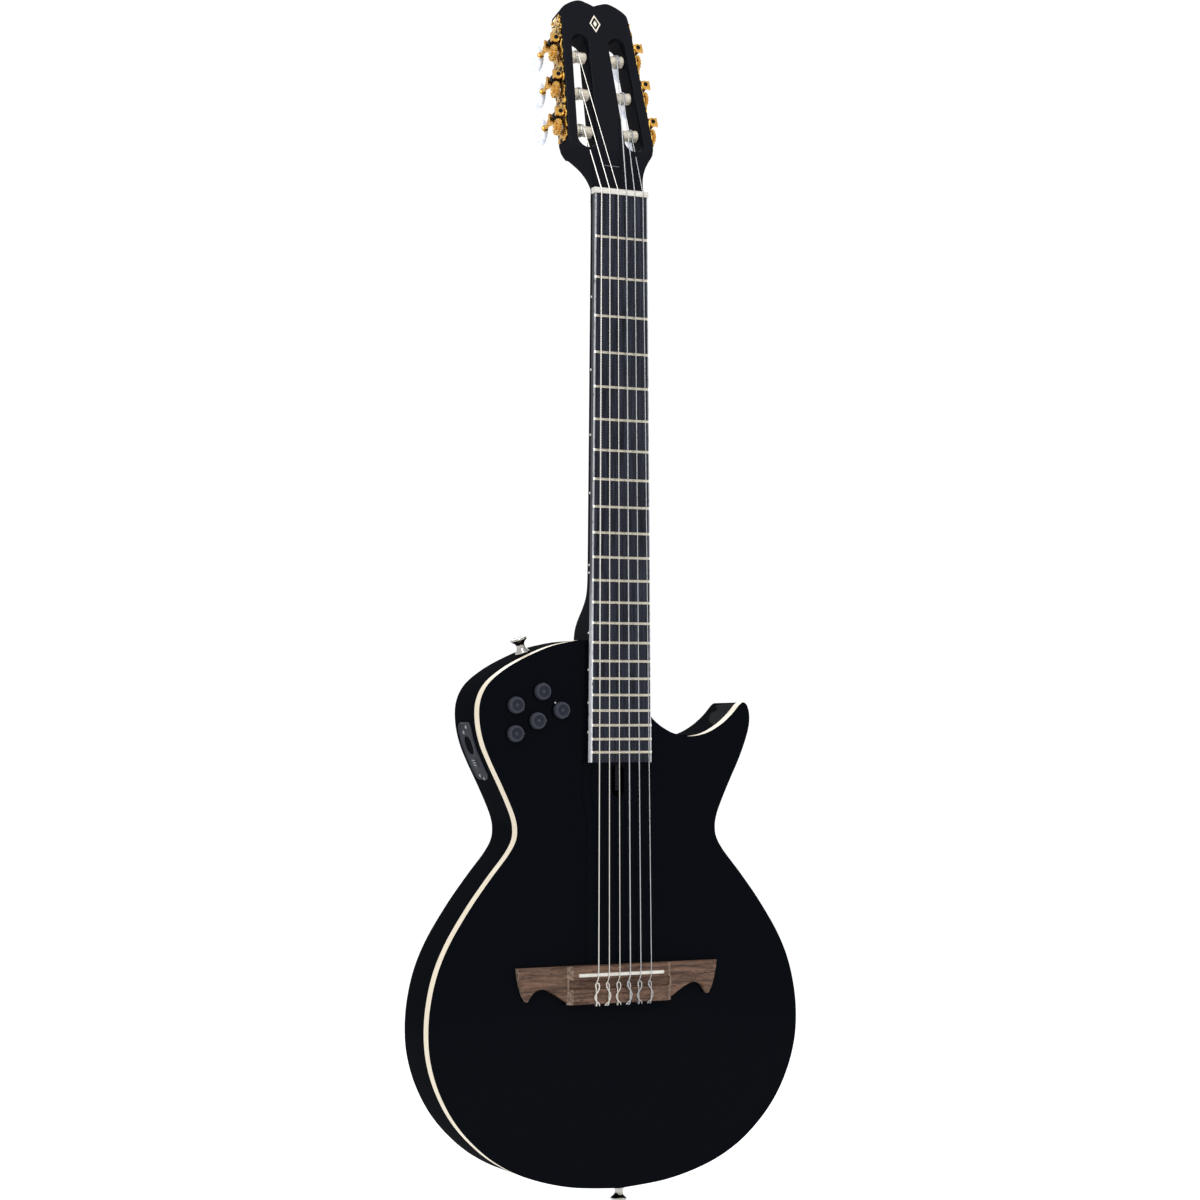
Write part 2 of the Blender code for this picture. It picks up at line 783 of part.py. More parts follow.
def string_offset(number):
    """Share across the strings, -0.5 for the lowest to 0.5 for the highest."""
    return number / 5 - 0.5


def string_at_nut(number):
    y = board_face(SCALE_LENGTH) - STRING_ABOVE_BOARD_AT_NUT - STRING_RADII[number]
    return Vector((string_offset(number) * NUT_STRING_SPAN, y, height(SCALE_LENGTH)))


def string_at_saddle(number):
    x = SADDLE_STRING_SHIFT + string_offset(number) * SADDLE_STRING_SPAN
    return Vector((x, STRING_HEIGHT_AT_SADDLE, height(0)))


def make_nut(bone):
    """A block with six open slots, each a little wider than its string."""
    top = board_face(SCALE_LENGTH) - 1.6
    seat = neck_face(SCALE_LENGTH) - GAP
    edge = [(-25.2, seat)]
    edge.append((-25.2, top + 1.2))
    edge.append((-24.0, top))
    for number in range(6):
        middle = string_at_nut(number)
        half = STRING_RADII[number] + GAP
        floor = middle.y + STRING_RADII[number] + 0.2
        edge += [(middle.x - half, top), (middle.x - half, floor)]
        edge += [(middle.x + half, floor), (middle.x + half, top)]
    edge += [(24.0, top), (25.2, top + 1.2), (25.2, seat)]
    low, high = height(SCALE_LENGTH), height(SCALE_LENGTH + NUT_WIDE)
    return lofted("nut", [[(x, y, z) for x, y in edge] for z in (low, high)], bone)


# Bridge


def bridge_outline():
    """Moustache shape: a straight upper edge, pointed wing tips and an arch beside the block."""
    half = ((BRIDGE_HALF, BLOCK_TOP), (BRIDGE_HALF - 2.6, -8.0), (84.4, -20.0))
    arch = spline(((83.4, -20.0), (77.5, -12.6), (69.5, -10.4), (60.5, -13.8), (48.5, -21.5)), 3)
    right = list(half) + arch + [(BLOCK_HALF, BLOCK_BOTTOM)]
    outline = right[::-1] + [(-x, z) for x, z in right]
    return [(BRIDGE_SHIFT + x, height(z)) for x, z in outline]


def make_bridge(walnut):
    bridge = slab("bridge", bridge_outline(), -WING_THICK, -GAP, walnut)
    low, high = height(BLOCK_BOTTOM), height(BLOCK_TOP)
    left, right = BRIDGE_SHIFT - BLOCK_HALF, BRIDGE_SHIFT + BLOCK_HALF
    slope = 5.0
    foot = -WING_THICK + 1
    block = [(left, -BLOCK_THICK), (right, -BLOCK_THICK), (right + slope, foot), (left - slope, foot)]
    join(bridge, lofted("guide_block", [[(x, y, z) for x, y in block] for z in (low + 0.2, high - 0.2)]))
    slot = SADDLE_HALF + GAP
    wide = SADDLE_WIDE / 2 + GAP
    saddle_low = (BRIDGE_SHIFT - slot, -20.0, height(-wide))
    saddle_high = (BRIDGE_SHIFT + slot, -3.0, height(wide))
    cut(bridge, box("guide_saddle_slot", saddle_low, saddle_high))
    trough_low = (left - slope, -20.0, height(-11.5))
    trough_high = (right + slope, -5.4, height(-4.0))
    cut(bridge, box("guide_tie_trough", trough_low, trough_high))
    for number in range(6):
        x = string_at_saddle(number).x
        frame = frame_from((x, -6.6, height(-30)), (1, 0, 0), (0, 1, 0))
        radius = STRING_RADII[number] + GAP + 0.2
        cut(bridge, turned(f"guide_tie_hole_{number + 1}", ((radius, 0), (radius, 30)), 8, None, frame))
    return bridge


def make_saddle(bone):
    left, right = BRIDGE_SHIFT - SADDLE_HALF, BRIDGE_SHIFT + SADDLE_HALF
    top = STRING_HEIGHT_AT_SADDLE + max(STRING_RADII) + 0.15
    edge = [(left, -4.8), (left, top + 1.2), (left + 4, top)]
    edge += [(right - 4, top), (right, top + 1.2), (right, -4.8)]
    half = SADDLE_WIDE / 2
    return lofted("saddle", [[(x, y, height(z)) for x, y in edge] for z in (-half, half)], bone)


def make_piezo_strip(copper):
    half = SADDLE_HALF - 0.5
    low = (BRIDGE_SHIFT - half, -4.5, height(-1.2))
    high = (BRIDGE_SHIFT + half, -3.3, height(1.2))
    return box("piezo_strip", low, high, copper)


# Strings


def roller_winding(number):
    """Side, roller place and distance of the winding inside the headstock's side, for each string."""
    side = -1 if number < 3 else 1
    order = number if number < 3 else 5 - number
    inward = (16.8, 17.2, 16.4)[order]
    return side, ROLLER_PLACES[order], inward


def string_route(number):
    radius = STRING_RADII[number]
    nut = string_at_nut(number)
    saddle = string_at_saddle(number)
    x = saddle.x
    side, place, inward = roller_winding(number)
    tie = [(x + 2.6, -10.9, -12.4), (x + 2.6, -10.9, -20.5), (x + 2.3, -10.6, -23.6), (x + 1.5, -9.2, -25.4)]
    tie += [(x + 0.6, -7.6, -25.7), (x, -6.6, -24.0), (x, -6.6, -11.0), (x, -7.2, -9.4), (x, -11.6, -3.6)]
    tie += [(x, STRING_HEIGHT_AT_SADDLE + 0.05, -2.0)]
    route = [Vector((px, py, height(pz))) for px, py, pz in tie]
    route += [saddle, nut, nut + Vector((0, 0, NUT_WIDE))]
    frame = roller_frame(side, place)
    reach = ROLLER_RADIUS + GAP + radius
    pitch = 2 * radius + 0.25
    turns, steps = 2.0, 10
    for k in range(int(turns * steps) + 1):
        angle = math.tau * k / steps + math.radians(-12)
        winding = Vector((reach * math.sin(angle), -reach * math.cos(angle), -inward + pitch * k / steps))
        route.append(frame @ winding)
    return route


def make_string(number, material):
    name = f"string_{6 - number}"
    curve = bpy.data.curves.new(name, "CURVE")
    curve.dimensions = "3D"
    curve.bevel_depth = STRING_RADII[number] * MM
    curve.bevel_resolution = 1
    curve.use_fill_caps = True
    path = curve.splines.new("POLY")
    route = string_route(number)
    path.points.add(len(route) - 1)
    for point, place in zip(path.points, route):
        point.co = (*(place * MM), 1.0)
    curve.materials.append(material)
    obj = bpy.data.objects.new(name, curve)
    bpy.context.scene.collection.objects.link(obj)
    return obj


# Controls and tuning machines


def make_knob(number, place, grey):
    """A turned cap with a dished middle and a blind bore for its shaft, on the shaft's axis."""
    x, z = place
    frame = frame_from((x, 0, height(z)), (1, 0, 0), (0, 0, 1))
    profile = (
        (3.2, 0.6),
        (KNOB_RADIUS, 0.6),
        (KNOB_RADIUS, 1.6),
        (KNOB_RADIUS - 0.3, KNOB_TALL - 0.7),
        (KNOB_RADIUS - 1.0, KNOB_TALL),
        (KNOB_RADIUS - 2.0, KNOB_TALL),
        (2.4, KNOB_TALL - 0.6),
    )
    origin = (x, 0, height(z))
    inner = ((3.2, KNOB_BORE),)
    return turned(f"knob_{number}", inner + profile, 18, grey, frame, origin)


def make_tuner_plate(name, side, gold):
    """A side plate for three machines, with two bearing posts for each worm."""
    place = ROLLER_PLACES[1]
    frame = tuner_frame(side, place)
    low, high = 45.5 - place, 165.5 - place
    half = (high - low) / 2
    shape = rounded_rectangle(half, PLATE_HALF_WIDE, 3.2, 3)
    middle = (high + low) / 2
    loops = [[(middle + x, ROLLER_DEEP + y, z) for x, y in shape] for z in (GAP, GAP + PLATE_THICK)]
    plate = lofted(f"tuner_plate_{name}", loops, gold, frame)
    for number, spot in enumerate(ROLLER_PLACES, 1):
        worm = worm_frame(side, spot)
        for end, along in (("front", 2.2), ("back", 15.0)):
            post = bearing_post(f"guide_post_{name}_{number}_{end}", worm, along, side)
            join(plate, post)
        shaft = SHAFT_RADIUS + GAP
        profile = ((shaft, -4), (shaft, 30))
        cut(plate, turned(f"guide_shaft_hole_{name}_{number}", profile, 12, None, worm))
        hole = ROLLER_SHAFT_RADIUS + GAP
        bore = ((hole, -4), (hole, 3.0))
        cut(plate, turned(f"guide_plate_hole_{name}_{number}", bore, 12, None, roller_frame(side, spot)))
    return plate


def bearing_post(name, worm, along, side):
    """A lug that stands on the plate and closes in a half circle over the worm's shaft."""
    radius = 4.2
    foot = -(GEAR_MIDDLE - GAP - PLATE_THICK / 2)
    ring = [(-radius, foot), (radius, foot)]
    for k in range(9):
        angle = math.pi * k / 8
        ring.append((radius * math.cos(angle), radius * math.sin(angle)))
    return lofted(name, [[(x, y, z) for x, y in ring] for z in (along, along + 2.8)], None, worm)


def make_roller(name, side, place, cream):
    """Shaft through plate and rail, a thick roller in the slot, and a pin in the middle wood."""
    frame = roller_frame(side, place)
    half = HEAD_HALF_AT_START - HEAD_TAPER * place
    outer_edge, inner_edge = slot_edges(place)
    outer = half - outer_edge + 2 * GAP
    inner = half - inner_edge - 2 * GAP
    pin = ROLLER_SHAFT_RADIUS
    reach = inner + 3.8
    thick = ROLLER_RADIUS
    step = GEAR_MIDDLE - GEAR_HALF_THICK - 0.3
    outside = GEAR_MIDDLE + GEAR_HALF_THICK - 0.4
    profile = ((pin, -reach), (pin, -inner), (thick, -inner), (thick, -outer), (pin, -outer))
    profile += ((pin, step), (1.8, step), (1.8, outside))
    return turned(name, profile, 14, cream, frame, frame.to_translation())


def make_gear(name, side, place, brass):
    """A toothed wheel with a bore for the roller's stub."""
    frame = roller_frame(side, place)
    root, bore = GEAR_RADIUS - 1.2, 2.1
    rings = []
    for along in (GEAR_MIDDLE - GEAR_HALF_THICK, GEAR_MIDDLE + GEAR_HALF_THICK):
        outer = []
        hole = []
        for k in range(GEAR_TEETH * 3):
            angle = math.tau * k / (GEAR_TEETH * 3)
            radius = root if k % 3 == 0 else GEAR_RADIUS
            outer.append((radius * math.cos(angle), radius * math.sin(angle), along))
            hole.append((bore * math.cos(angle), bore * math.sin(angle), along))
        rings.append((outer, hole))
    (low_outer, low_hole), (high_outer, high_hole) = rings
    origin = frame.to_translation()
    return lofted(name, [low_outer, high_outer, high_hole, low_hole], brass, frame, True, origin)


def make_worm(name, side, place, black):
    """Worm and shaft in one, with a collar behind the back bearing and a stub for the button."""
    frame = worm_frame(side, place)
    thin = SHAFT_RADIUS
    profile = (
        (1.6, 0.4),
        (thin, 1.0),
        (thin, 5.4),
        (WORM_RADIUS, 5.8),
        (WORM_RADIUS, 14.2),
        (thin, 14.6),
        (thin, 18.4),
        (3.8, 18.6),
        (4.0, 20.2),
        (3.0, 24.0),
        (2.2, 26.0),
        (1.7, 27.0),
        (1.7, BUTTON_DEEP + 4.0),
    )
    return turned(name, profile, 12, black, frame, frame.to_translation())


def make_button(name, side, place, pearl):
    """A flat oval paddle across the shaft, with a blind hole for it."""
    frame = worm_frame(side, place)
    loops = []
    for k in range(7):
        angle = math.pi * k / 6
        swell = math.sin(angle) ** 0.5
        wide = 12.6 * max(0.35, swell)
        thick = 4.3 * max(0.65, swell)
        along = BUTTON_DEEP - 7.2 * math.cos(angle)
        ring = [math.tau * j / 16 for j in range(16)]
        loops.append([(wide * math.cos(a), thick * math.sin(a), along) for a in ring])
    button = lofted(name, loops, pearl, frame, origin=frame.to_translation())
    hole = ((2.0, BUTTON_DEEP - 15), (2.0, BUTTON_DEEP + 4.4))
    return cut(button, turned("guide_hole_" + name, hole, 12, None, frame))


def make_tuners(side_name, side, materials):
    for number, place in enumerate(ROLLER_PLACES, 1):
        label = f"{side_name}_{number}"
        make_roller(f"roller_{label}", side, place, materials["bone"])
        make_gear(f"gear_{label}", side, place, materials["gold"])
        make_worm(f"worm_{label}", side, place, materials["black_steel"])
        make_button(f"button_{label}", side, place, materials["pearl"])


def make_materials():
    return {
        "lacquer": finish_material("black_lacquer", (0.006, 0.007, 0.010), 0.18, 0.0),
        "cream": finish_material("cream_binding", (0.78, 0.70, 0.50), 0.35, 0.0),
        "ebony": finish_material("dark_fretboard_wood", (0.030, 0.032, 0.040), 0.45, 0.0),
        "walnut": finish_material("brown_bridge_wood", (0.19, 0.10, 0.06), 0.55, 0.0),
        "bone": finish_material("bone", (0.80, 0.76, 0.66), 0.4, 0.0),
        "grey": finish_material("grey_rubbery_plastic", (0.055, 0.058, 0.070), 0.6, 0.0),
        "gold": finish_material("gold_plate", (0.80, 0.50, 0.15), 0.28, 1.0),
        "black_steel": finish_material("black_plated_steel", (0.03, 0.03, 0.035), 0.35, 0.8),
        "chrome": finish_material("nickel_plate", (0.75, 0.74, 0.72), 0.12, 1.0),
        "steel": finish_material("bare_steel", (0.45, 0.45, 0.46), 0.35, 1.0),
        "pearl": finish_material("pearl_plastic", (0.72, 0.75, 0.80), 0.25, 0.0),
        "board_green": finish_material("circuit_board", (0.02, 0.12, 0.05), 0.4, 0.0),
        "copper": finish_material("copper_foil", (0.60, 0.30, 0.15), 0.35, 1.0),
        "wound": finish_material("silvered_winding", (0.70, 0.68, 0.62), 0.3, 0.9),
        "nylon": finish_material("clear_nylon", (0.62, 0.64, 0.68), 0.2, 0.0),
    }


def main():
    clear_scene()
    materials = make_materials()
    make_body_core(materials["lacquer"])
    make_soundboard(materials["lacquer"])
    make_binding(materials["cream"])
    make_control_cover(materials["grey"])
    make_side_panel(materials["grey"])
    make_jack_socket(materials["chrome"])
    make_preamp_board(materials["board_green"])
    make_battery(materials["grey"])
    top_place, end_place = strap_places()
    make_strap_button("strap_button_top", top_place, STRAP_DEPTHS[0], materials["chrome"])
    make_strap_button("strap_button_end", end_place, STRAP_DEPTHS[1], materials["chrome"])
    make_neck(materials["lacquer"])
    make_truss_rod(materials["steel"])
    make_fretboard(materials["ebony"])
    make_nut(materials["bone"])
    make_bridge(materials["walnut"])
    make_saddle(materials["bone"])
    make_piezo_strip(materials["copper"])
    for number in range(6):
        make_string(number, materials["wound"] if number < 3 else materials["nylon"])
    for number, place in enumerate(KNOB_PLACES, 1):
        make_knob(number, place, materials["grey"])
    for side_name, side in (("bass", -1), ("treble", 1)):
        make_tuner_plate(side_name, side, materials["gold"])
        make_tuners(side_name, side, materials)


main()
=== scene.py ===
# Thin-bodied black nylon-string guitar with a cutaway, hanging upright.
# Lengths are worked out in millimetres and turned to metres when a mesh is made.
import math
import bmesh
import bpy
from mathutils import Matrix, Vector


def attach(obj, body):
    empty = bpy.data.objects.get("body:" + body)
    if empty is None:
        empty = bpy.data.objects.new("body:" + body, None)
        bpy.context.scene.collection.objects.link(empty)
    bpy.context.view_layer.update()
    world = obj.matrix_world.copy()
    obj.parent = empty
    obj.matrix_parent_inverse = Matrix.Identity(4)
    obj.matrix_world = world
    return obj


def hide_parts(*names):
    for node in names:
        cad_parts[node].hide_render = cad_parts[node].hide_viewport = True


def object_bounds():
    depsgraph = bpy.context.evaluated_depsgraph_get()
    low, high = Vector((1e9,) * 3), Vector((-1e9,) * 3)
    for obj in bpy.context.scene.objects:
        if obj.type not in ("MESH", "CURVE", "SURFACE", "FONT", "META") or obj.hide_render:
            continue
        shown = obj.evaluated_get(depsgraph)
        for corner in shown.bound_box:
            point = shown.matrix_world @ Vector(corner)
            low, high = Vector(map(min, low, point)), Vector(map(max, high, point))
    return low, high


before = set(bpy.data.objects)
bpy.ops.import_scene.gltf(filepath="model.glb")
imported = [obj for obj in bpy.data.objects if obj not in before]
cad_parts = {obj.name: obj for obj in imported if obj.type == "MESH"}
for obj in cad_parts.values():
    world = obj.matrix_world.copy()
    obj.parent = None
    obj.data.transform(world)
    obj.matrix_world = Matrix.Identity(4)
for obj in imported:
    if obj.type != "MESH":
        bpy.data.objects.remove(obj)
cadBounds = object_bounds()
mm = 0.001
hangerHeight = 672.0  # the origin, counted up from the saddle
scaleLength = 650.0

print("stage: tools")


def zAt(aboveSaddle):
    return aboveSaddle - hangerHeight


def srgb(hexColour, alpha=1.0):
    parts = [int(hexColour[k : k + 2], 16) / 255 for k in (0, 2, 4)]
    return (*[c / 12.92 if c <= 0.04045 else ((c + 0.055) / 1.055) ** 2.4 for c in parts], alpha)


def addNode(finish, kind, settings=None, links=None):  # a node, its values, and what feeds it
    node = finish.node_tree.nodes.new("ShaderNode" + kind)
    for key, value in (settings or {}).items():
        if isinstance(key, int) or key in node.inputs:
            node.inputs[key].default_value = value
        else:
            setattr(node, key, value)
    for key, source in (links or {}).items():
        finish.node_tree.links.new(source, node.inputs[key])
    return node


def startFinish(name, **values):  # a material with its shader's own sockets set
    finish = bpy.data.materials.new(name)
    finish.use_nodes = True
    shader = finish.node_tree.nodes["Principled BSDF"]
    for key, value in values.items():
        shader.inputs[key.replace("_", " ")].default_value = value
    place = addNode(finish, "TexCoord").outputs["Object"]
    return finish, shader, place


def perMm(size):  # texture scale for a feature of that many millimetres
    return 1 / (size * mm)


def mixColours(finish, factor, first, second):
    settings = {"data_type": "RGBA", 6: first, 7: second}
    return addNode(finish, "Mix", settings, {0: factor}).outputs[2]


def fedMix(finish, factor, source, second, blend="MIX"):  # the first colour comes from a node
    settings = {"data_type": "RGBA", "blend_type": blend, 7: second}
    return addNode(finish, "Mix", settings, {0: factor, 6: source}).outputs[2]


def ramp(finish, source, low, high, toLow=0.0, toHigh=1.0):
    settings = {"From Min": low, "From Max": high, "To Min": toLow, "To Max": toHigh}
    return addNode(finish, "MapRange", settings, {"Value": source}).outputs[0]


def bumpFrom(finish, shader, height, depth, strength=1.0):  # depth in millimetres
    settings = {"Distance": depth * mm, "Strength": strength}
    bump = addNode(finish, "Bump", settings, {"Height": height})
    finish.node_tree.links.new(bump.outputs[0], shader.inputs["Normal"])


def feed(finish, shader, **sources):
    for key, source in sources.items():
        finish.node_tree.links.new(source, shader.inputs[key.replace("_", " ")])


def stretched(finish, place, x, y, z):
    return addNode(finish, "Mapping", {"Scale": (x, y, z)}, {"Vector": place}).outputs[0]


def catmull(points, steps, closed=False):
    points = [Vector(p) for p in points]
    count = len(points)
    path = []
    for k in range(count if closed else count - 1):
        if closed:
            a, b, c, d = (points[(k + j) % count] for j in (-1, 0, 1, 2))
        else:
            a, b, c, d = points[max(k - 1, 0)], points[k], points[k + 1], points[
                min(k + 2, count - 1)
            ]
        for step in range(steps):
            t = step / steps
            line = 2 * b + (c - a) * t + (2 * a - 5 * b + 4 * c - d) * t * t
            path.append((line + (3 * b - a - 3 * c + d) * t**3) * 0.5)
    return path if closed else path + [points[-1]]


def insetLoop(outline, distance):
    count = len(outline)
    moved = []
    for k in range(count):
        before, here, after = (Vector(outline[(k + j) % count]) for j in (-1, 0, 1))
        first = (here - before).normalized()
        second = (after - here).normalized()
        inward = Vector((-first.y - second.y, first.x + second.x)).normalized()
        spread = max(0.5, inward.dot(Vector((-first.y, first.x))))
        moved.append(here + inward * distance / spread)
    return moved


def roundedShape(halfWide, halfHigh, radius, steps=6):
    shape = []
    for sx, sz, start in ((1, 1, 0), (-1, 1, 90), (-1, -1, 180), (1, -1, 270)):
        for k in range(steps + 1):
            turn = math.radians(start + 90 * k / steps)
            x = sx * (halfWide - radius) + radius * math.cos(turn)
            shape.append(Vector((x, sz * (halfHigh - radius) + radius * math.sin(turn))))
    return shape


def counterClockwise(line):
    area = sum(a.x * b.y - b.x * a.y for a, b in zip(line, line[1:] + line[:1]))
    return line if area > 0 else line[::-1]


def finishMesh(name, work, finish, place=Matrix(), smoothUnder=38):
    work.normal_update()
    bmesh.ops.transform(work, matrix=Matrix.Scale(mm, 4) @ place, verts=work.verts)
    bmesh.ops.recalc_face_normals(work, faces=work.faces)
    mesh = bpy.data.meshes.new(name)
    work.to_mesh(mesh)
    work.free()
    mesh.shade_smooth()
    mesh.set_sharp_from_angle(angle=math.radians(smoothUnder))
    mesh.materials.append(finish)
    piece = bpy.data.objects.new(name, mesh)
    bpy.context.scene.collection.objects.link(piece)
    return piece


# quads between loops of one length
def addSkin(work, loops, closed=False, capStart=True, capEnd=True):
    rows = [[work.verts.new(p) for p in loop] for loop in loops]
    count = len(loops[0])
    for k in range(len(rows) if closed else len(rows) - 1):
        near, far = rows[k], rows[(k + 1) % len(rows)]
        for j in range(count):
            work.faces.new((near[j], near[(j + 1) % count], far[(j + 1) % count], far[j]))
    if not closed and capStart:
        work.faces.new(rows[0][::-1])
    if not closed and capEnd:
        work.faces.new(rows[-1])
    return rows


def skin(name, loops, finish, place=Matrix(), closed=False, smoothUnder=38):
    work = bmesh.new()
    addSkin(work, loops, closed)
    return finishMesh(name, work, finish, place, smoothUnder)


def ringLoops(profile, sides, centre=(0, 0)):
    loops = []
    for radius, along in profile:
        turns = [math.tau * k / sides for k in range(sides)]
        loops.append(
            [
                (centre[0] + radius * math.cos(t), centre[1] + radius * math.sin(t), along)
                for t in turns
            ]
        )
    return loops


# revolved about the place's Z
def turned(name, profile, sides, finish, place=Matrix(), smoothUnder=38):
    return skin(name, ringLoops(profile, sides), finish, place, smoothUnder=smoothUnder)


def edgeProfile(low, high, roundLow, roundHigh, steps=4):  # (inset, depth) round an outline
    profile = []
    for k in range(steps + 1):
        t = math.pi / 2 * k / steps
        profile.append((roundLow * (1 - math.sin(t)), low + roundLow * (1 - math.cos(t))))
    for k in range(steps + 1):
        t = math.pi / 2 * k / steps
        profile.append((roundHigh * (1 - math.cos(t)), high - roundHigh * (1 - math.sin(t))))
    return profile


def fillFace(work, rims):  # a flat face between an outer rim and the rims of its holes
    edges = []
    for rim in rims:
        for k, vert in enumerate(rim):
            edges.append(
                work.edges.get(
                    (vert, rim[(k + 1) % len(rim)])
                ) or work.edges.new((vert, rim[(k + 1) % len(rim)]))
            )
    bmesh.ops.triangle_fill(work, edges=edges, use_beauty=True, use_dissolve=False)


def plate(
    name, outline, profile, finish, place=Matrix(), holes=(), holeRound=0.4, pockets=(),
    smoothUnder=38
):
    # outline in X and Z, profile gives inset and Y from the front face to the back one
    work = bmesh.new()
    front, back = profile[0][1], profile[-1][1]
    loops = [[(p.x, y, p.y) for p in insetLoop(outline, inset)] for inset, y in profile]
    rows = addSkin(work, loops, capStart=False, capEnd=False)
    frontRims, backRims = [rows[0]], [rows[-1]]
    for hole in holes:
        sides = edgeProfile(front, back, holeRound, holeRound, 2)
        rows = addSkin(
            work, [[(p.x, y, p.y) for p in insetLoop(hole, -inset)] for inset, y in sides],
            capStart=False, capEnd=False
        )
        frontRims.append(rows[0])
        backRims.append(rows[-1])
    for pocket, deep in pockets:  # sunk into the back face
        rows = addSkin(
            work, [[(p[0], y, p[1]) for p in pocket] for y in (back, back - deep)], capStart=False
        )
        backRims.append(rows[0])
    fillFace(work, frontRims)
    fillFace(work, backRims)
    return finishMesh(name, work, finish, place, smoothUnder)


def tubeLoops(path, radius, sides=8):  # rings carried along a path without twist
    path = [Vector(p) for p in path]
    loops = []
    side = None
    for k, point in enumerate(path):
        along = (path[min(k + 1, len(path) - 1)] - path[max(k - 1, 0)]).normalized()
        if side is None:
            side = along.orthogonal().normalized()
        side = (side - along * side.dot(along)).normalized()
        other = along.cross(side)
        turns = [math.tau * j / sides for j in range(sides)]
        loops.append([point + (side * math.cos(t) + other * math.sin(t)) * radius for t in turns])
    return loops


def tube(name, path, radius, finish, sides=8):
    return skin(name, tubeLoops(path, radius, sides), finish)


def axes(origin, xAxis, yAxis):
    xAxis, yAxis = Vector(xAxis).normalized(), Vector(yAxis).normalized()
    turn = Matrix((xAxis, yAxis, xAxis.cross(yAxis))).transposed().to_4x4()
    return Matrix.Translation(origin) @ turn


# attaches a piece to the body it rides on and hides the parts it stands for
def fit(piece, body, slotName, *nodes):
    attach(piece, body)
    if nodes:
        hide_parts(*nodes)
    return piece


print("stage: finishes")


def blackLacquer(name, colour, gloss):
    # Polyester lacquer, sprayed, flatted and buffed: deep black with a faint blue cast, a mirror
    # surface, the slightest orange peel, and a haze of handling that only shows in the gloss.
    # The gloss is a thin clear coat, kept faint so that the body stays black at every slant.
    finish, shader, place = startFinish(
        name, Base_Color=srgb(colour), IOR=1.0, Coat_Weight=gloss, Coat_IOR=2.2, Coat_Roughness=0.05
    )
    haze = addNode(finish, "TexNoise", {"Scale": perMm(60), "Detail": 5}, {"Vector": place})
    feed(finish, shader, Roughness=ramp(finish, haze.outputs[0], 0.35, 0.7, 0.06, 0.16))
    peel = addNode(finish, "TexNoise", {"Scale": perMm(3.5), "Detail": 1}, {"Vector": place})
    bumpFrom(finish, shader, peel.outputs[0], 0.02, 0.35)
    return finish


def neckLacquer():
    # The same lacquer rubbed down to satin where the hand runs: softer and a little greyer.
    finish, shader, place = startFinish(
        "neckSatinLacquer", Base_Color=srgb("0E1015"), IOR=1.0, Coat_Weight=0.03, Coat_IOR=2.2,
        Coat_Roughness=0.28
    )
    haze = addNode(finish, "TexNoise", {"Scale": perMm(25), "Detail": 6}, {"Vector": place})
    feed(finish, shader, Roughness=ramp(finish, haze.outputs[0], 0.3, 0.7, 0.22, 0.34))
    return finish


def creamCelluloid():
    # Celluloid binding, scraped flush and lacquered: warm ivory, faint streaks along its length.
    finish, shader, place = startFinish("creamCelluloid", IOR=1.4, Roughness=0.4)
    long = stretched(finish, place, perMm(14), perMm(1.2), perMm(14))
    streak = addNode(finish, "TexNoise", {"Scale": 1.0, "Detail": 4}, {"Vector": long})
    colour = mixColours(
        finish, ramp(finish, streak.outputs[0], 0.35, 0.7), srgb("DDD3BF"), srgb("C8BBA2")
    )
    feed(finish, shader, Base_Color=colour)
    bumpFrom(finish, shader, streak.outputs[0], 0.02, 0.4)
    return finish


def darkBoardWood(name, edge=None):  # edge: how far the painted highlight lightens it above and below the body joint
    # Oiled blackwood board: blue-black with paler streaks along the neck and short open pores.
    # Pores are about 0.15 mm wide; they are drawn at 0.5 mm so that they show.
    finish, shader, place = startFinish(name, IOR=1.2)
    grain = stretched(finish, place, perMm(1.7), perMm(1.7), perMm(55))
    streak = addNode(
        finish, "TexNoise", {"Scale": 1.0, "Detail": 6, "Roughness": 0.6}, {"Vector": grain}
    )
    colour = mixColours(
        finish, ramp(finish, streak.outputs[0], 0.36, 0.68), srgb("090B12"), srgb("2A2E3A")
    )
    if edge:  # painted highlight: the side or corner is lightened towards pale grey, by one share up the neck and another past the body joint
        height = addNode(finish, "SeparateXYZ", None, {0: place}).outputs[2]
        pale = ramp(finish, height, -0.34, -0.42, *edge)
        colour = fedMix(finish, pale, colour, srgb("C4C6CA"))
    pores = stretched(finish, place, perMm(0.5), perMm(0.5), perMm(5))
    spots = addNode(finish, "TexNoise", {"Scale": 1.0, "Detail": 2}, {"Vector": pores})
    dark = ramp(finish, spots.outputs[0], 0.60, 0.68)
    feed(finish, shader, Base_Color=fedMix(finish, dark, colour, srgb("12141A")))
    feed(finish, shader, Roughness=ramp(finish, streak.outputs[0], 0.3, 0.7, 0.36, 0.5))
    bumpFrom(finish, shader, ramp(finish, spots.outputs[0], 0.55, 0.7, 1.0, 0.0), 0.06, 0.6)
    return finish


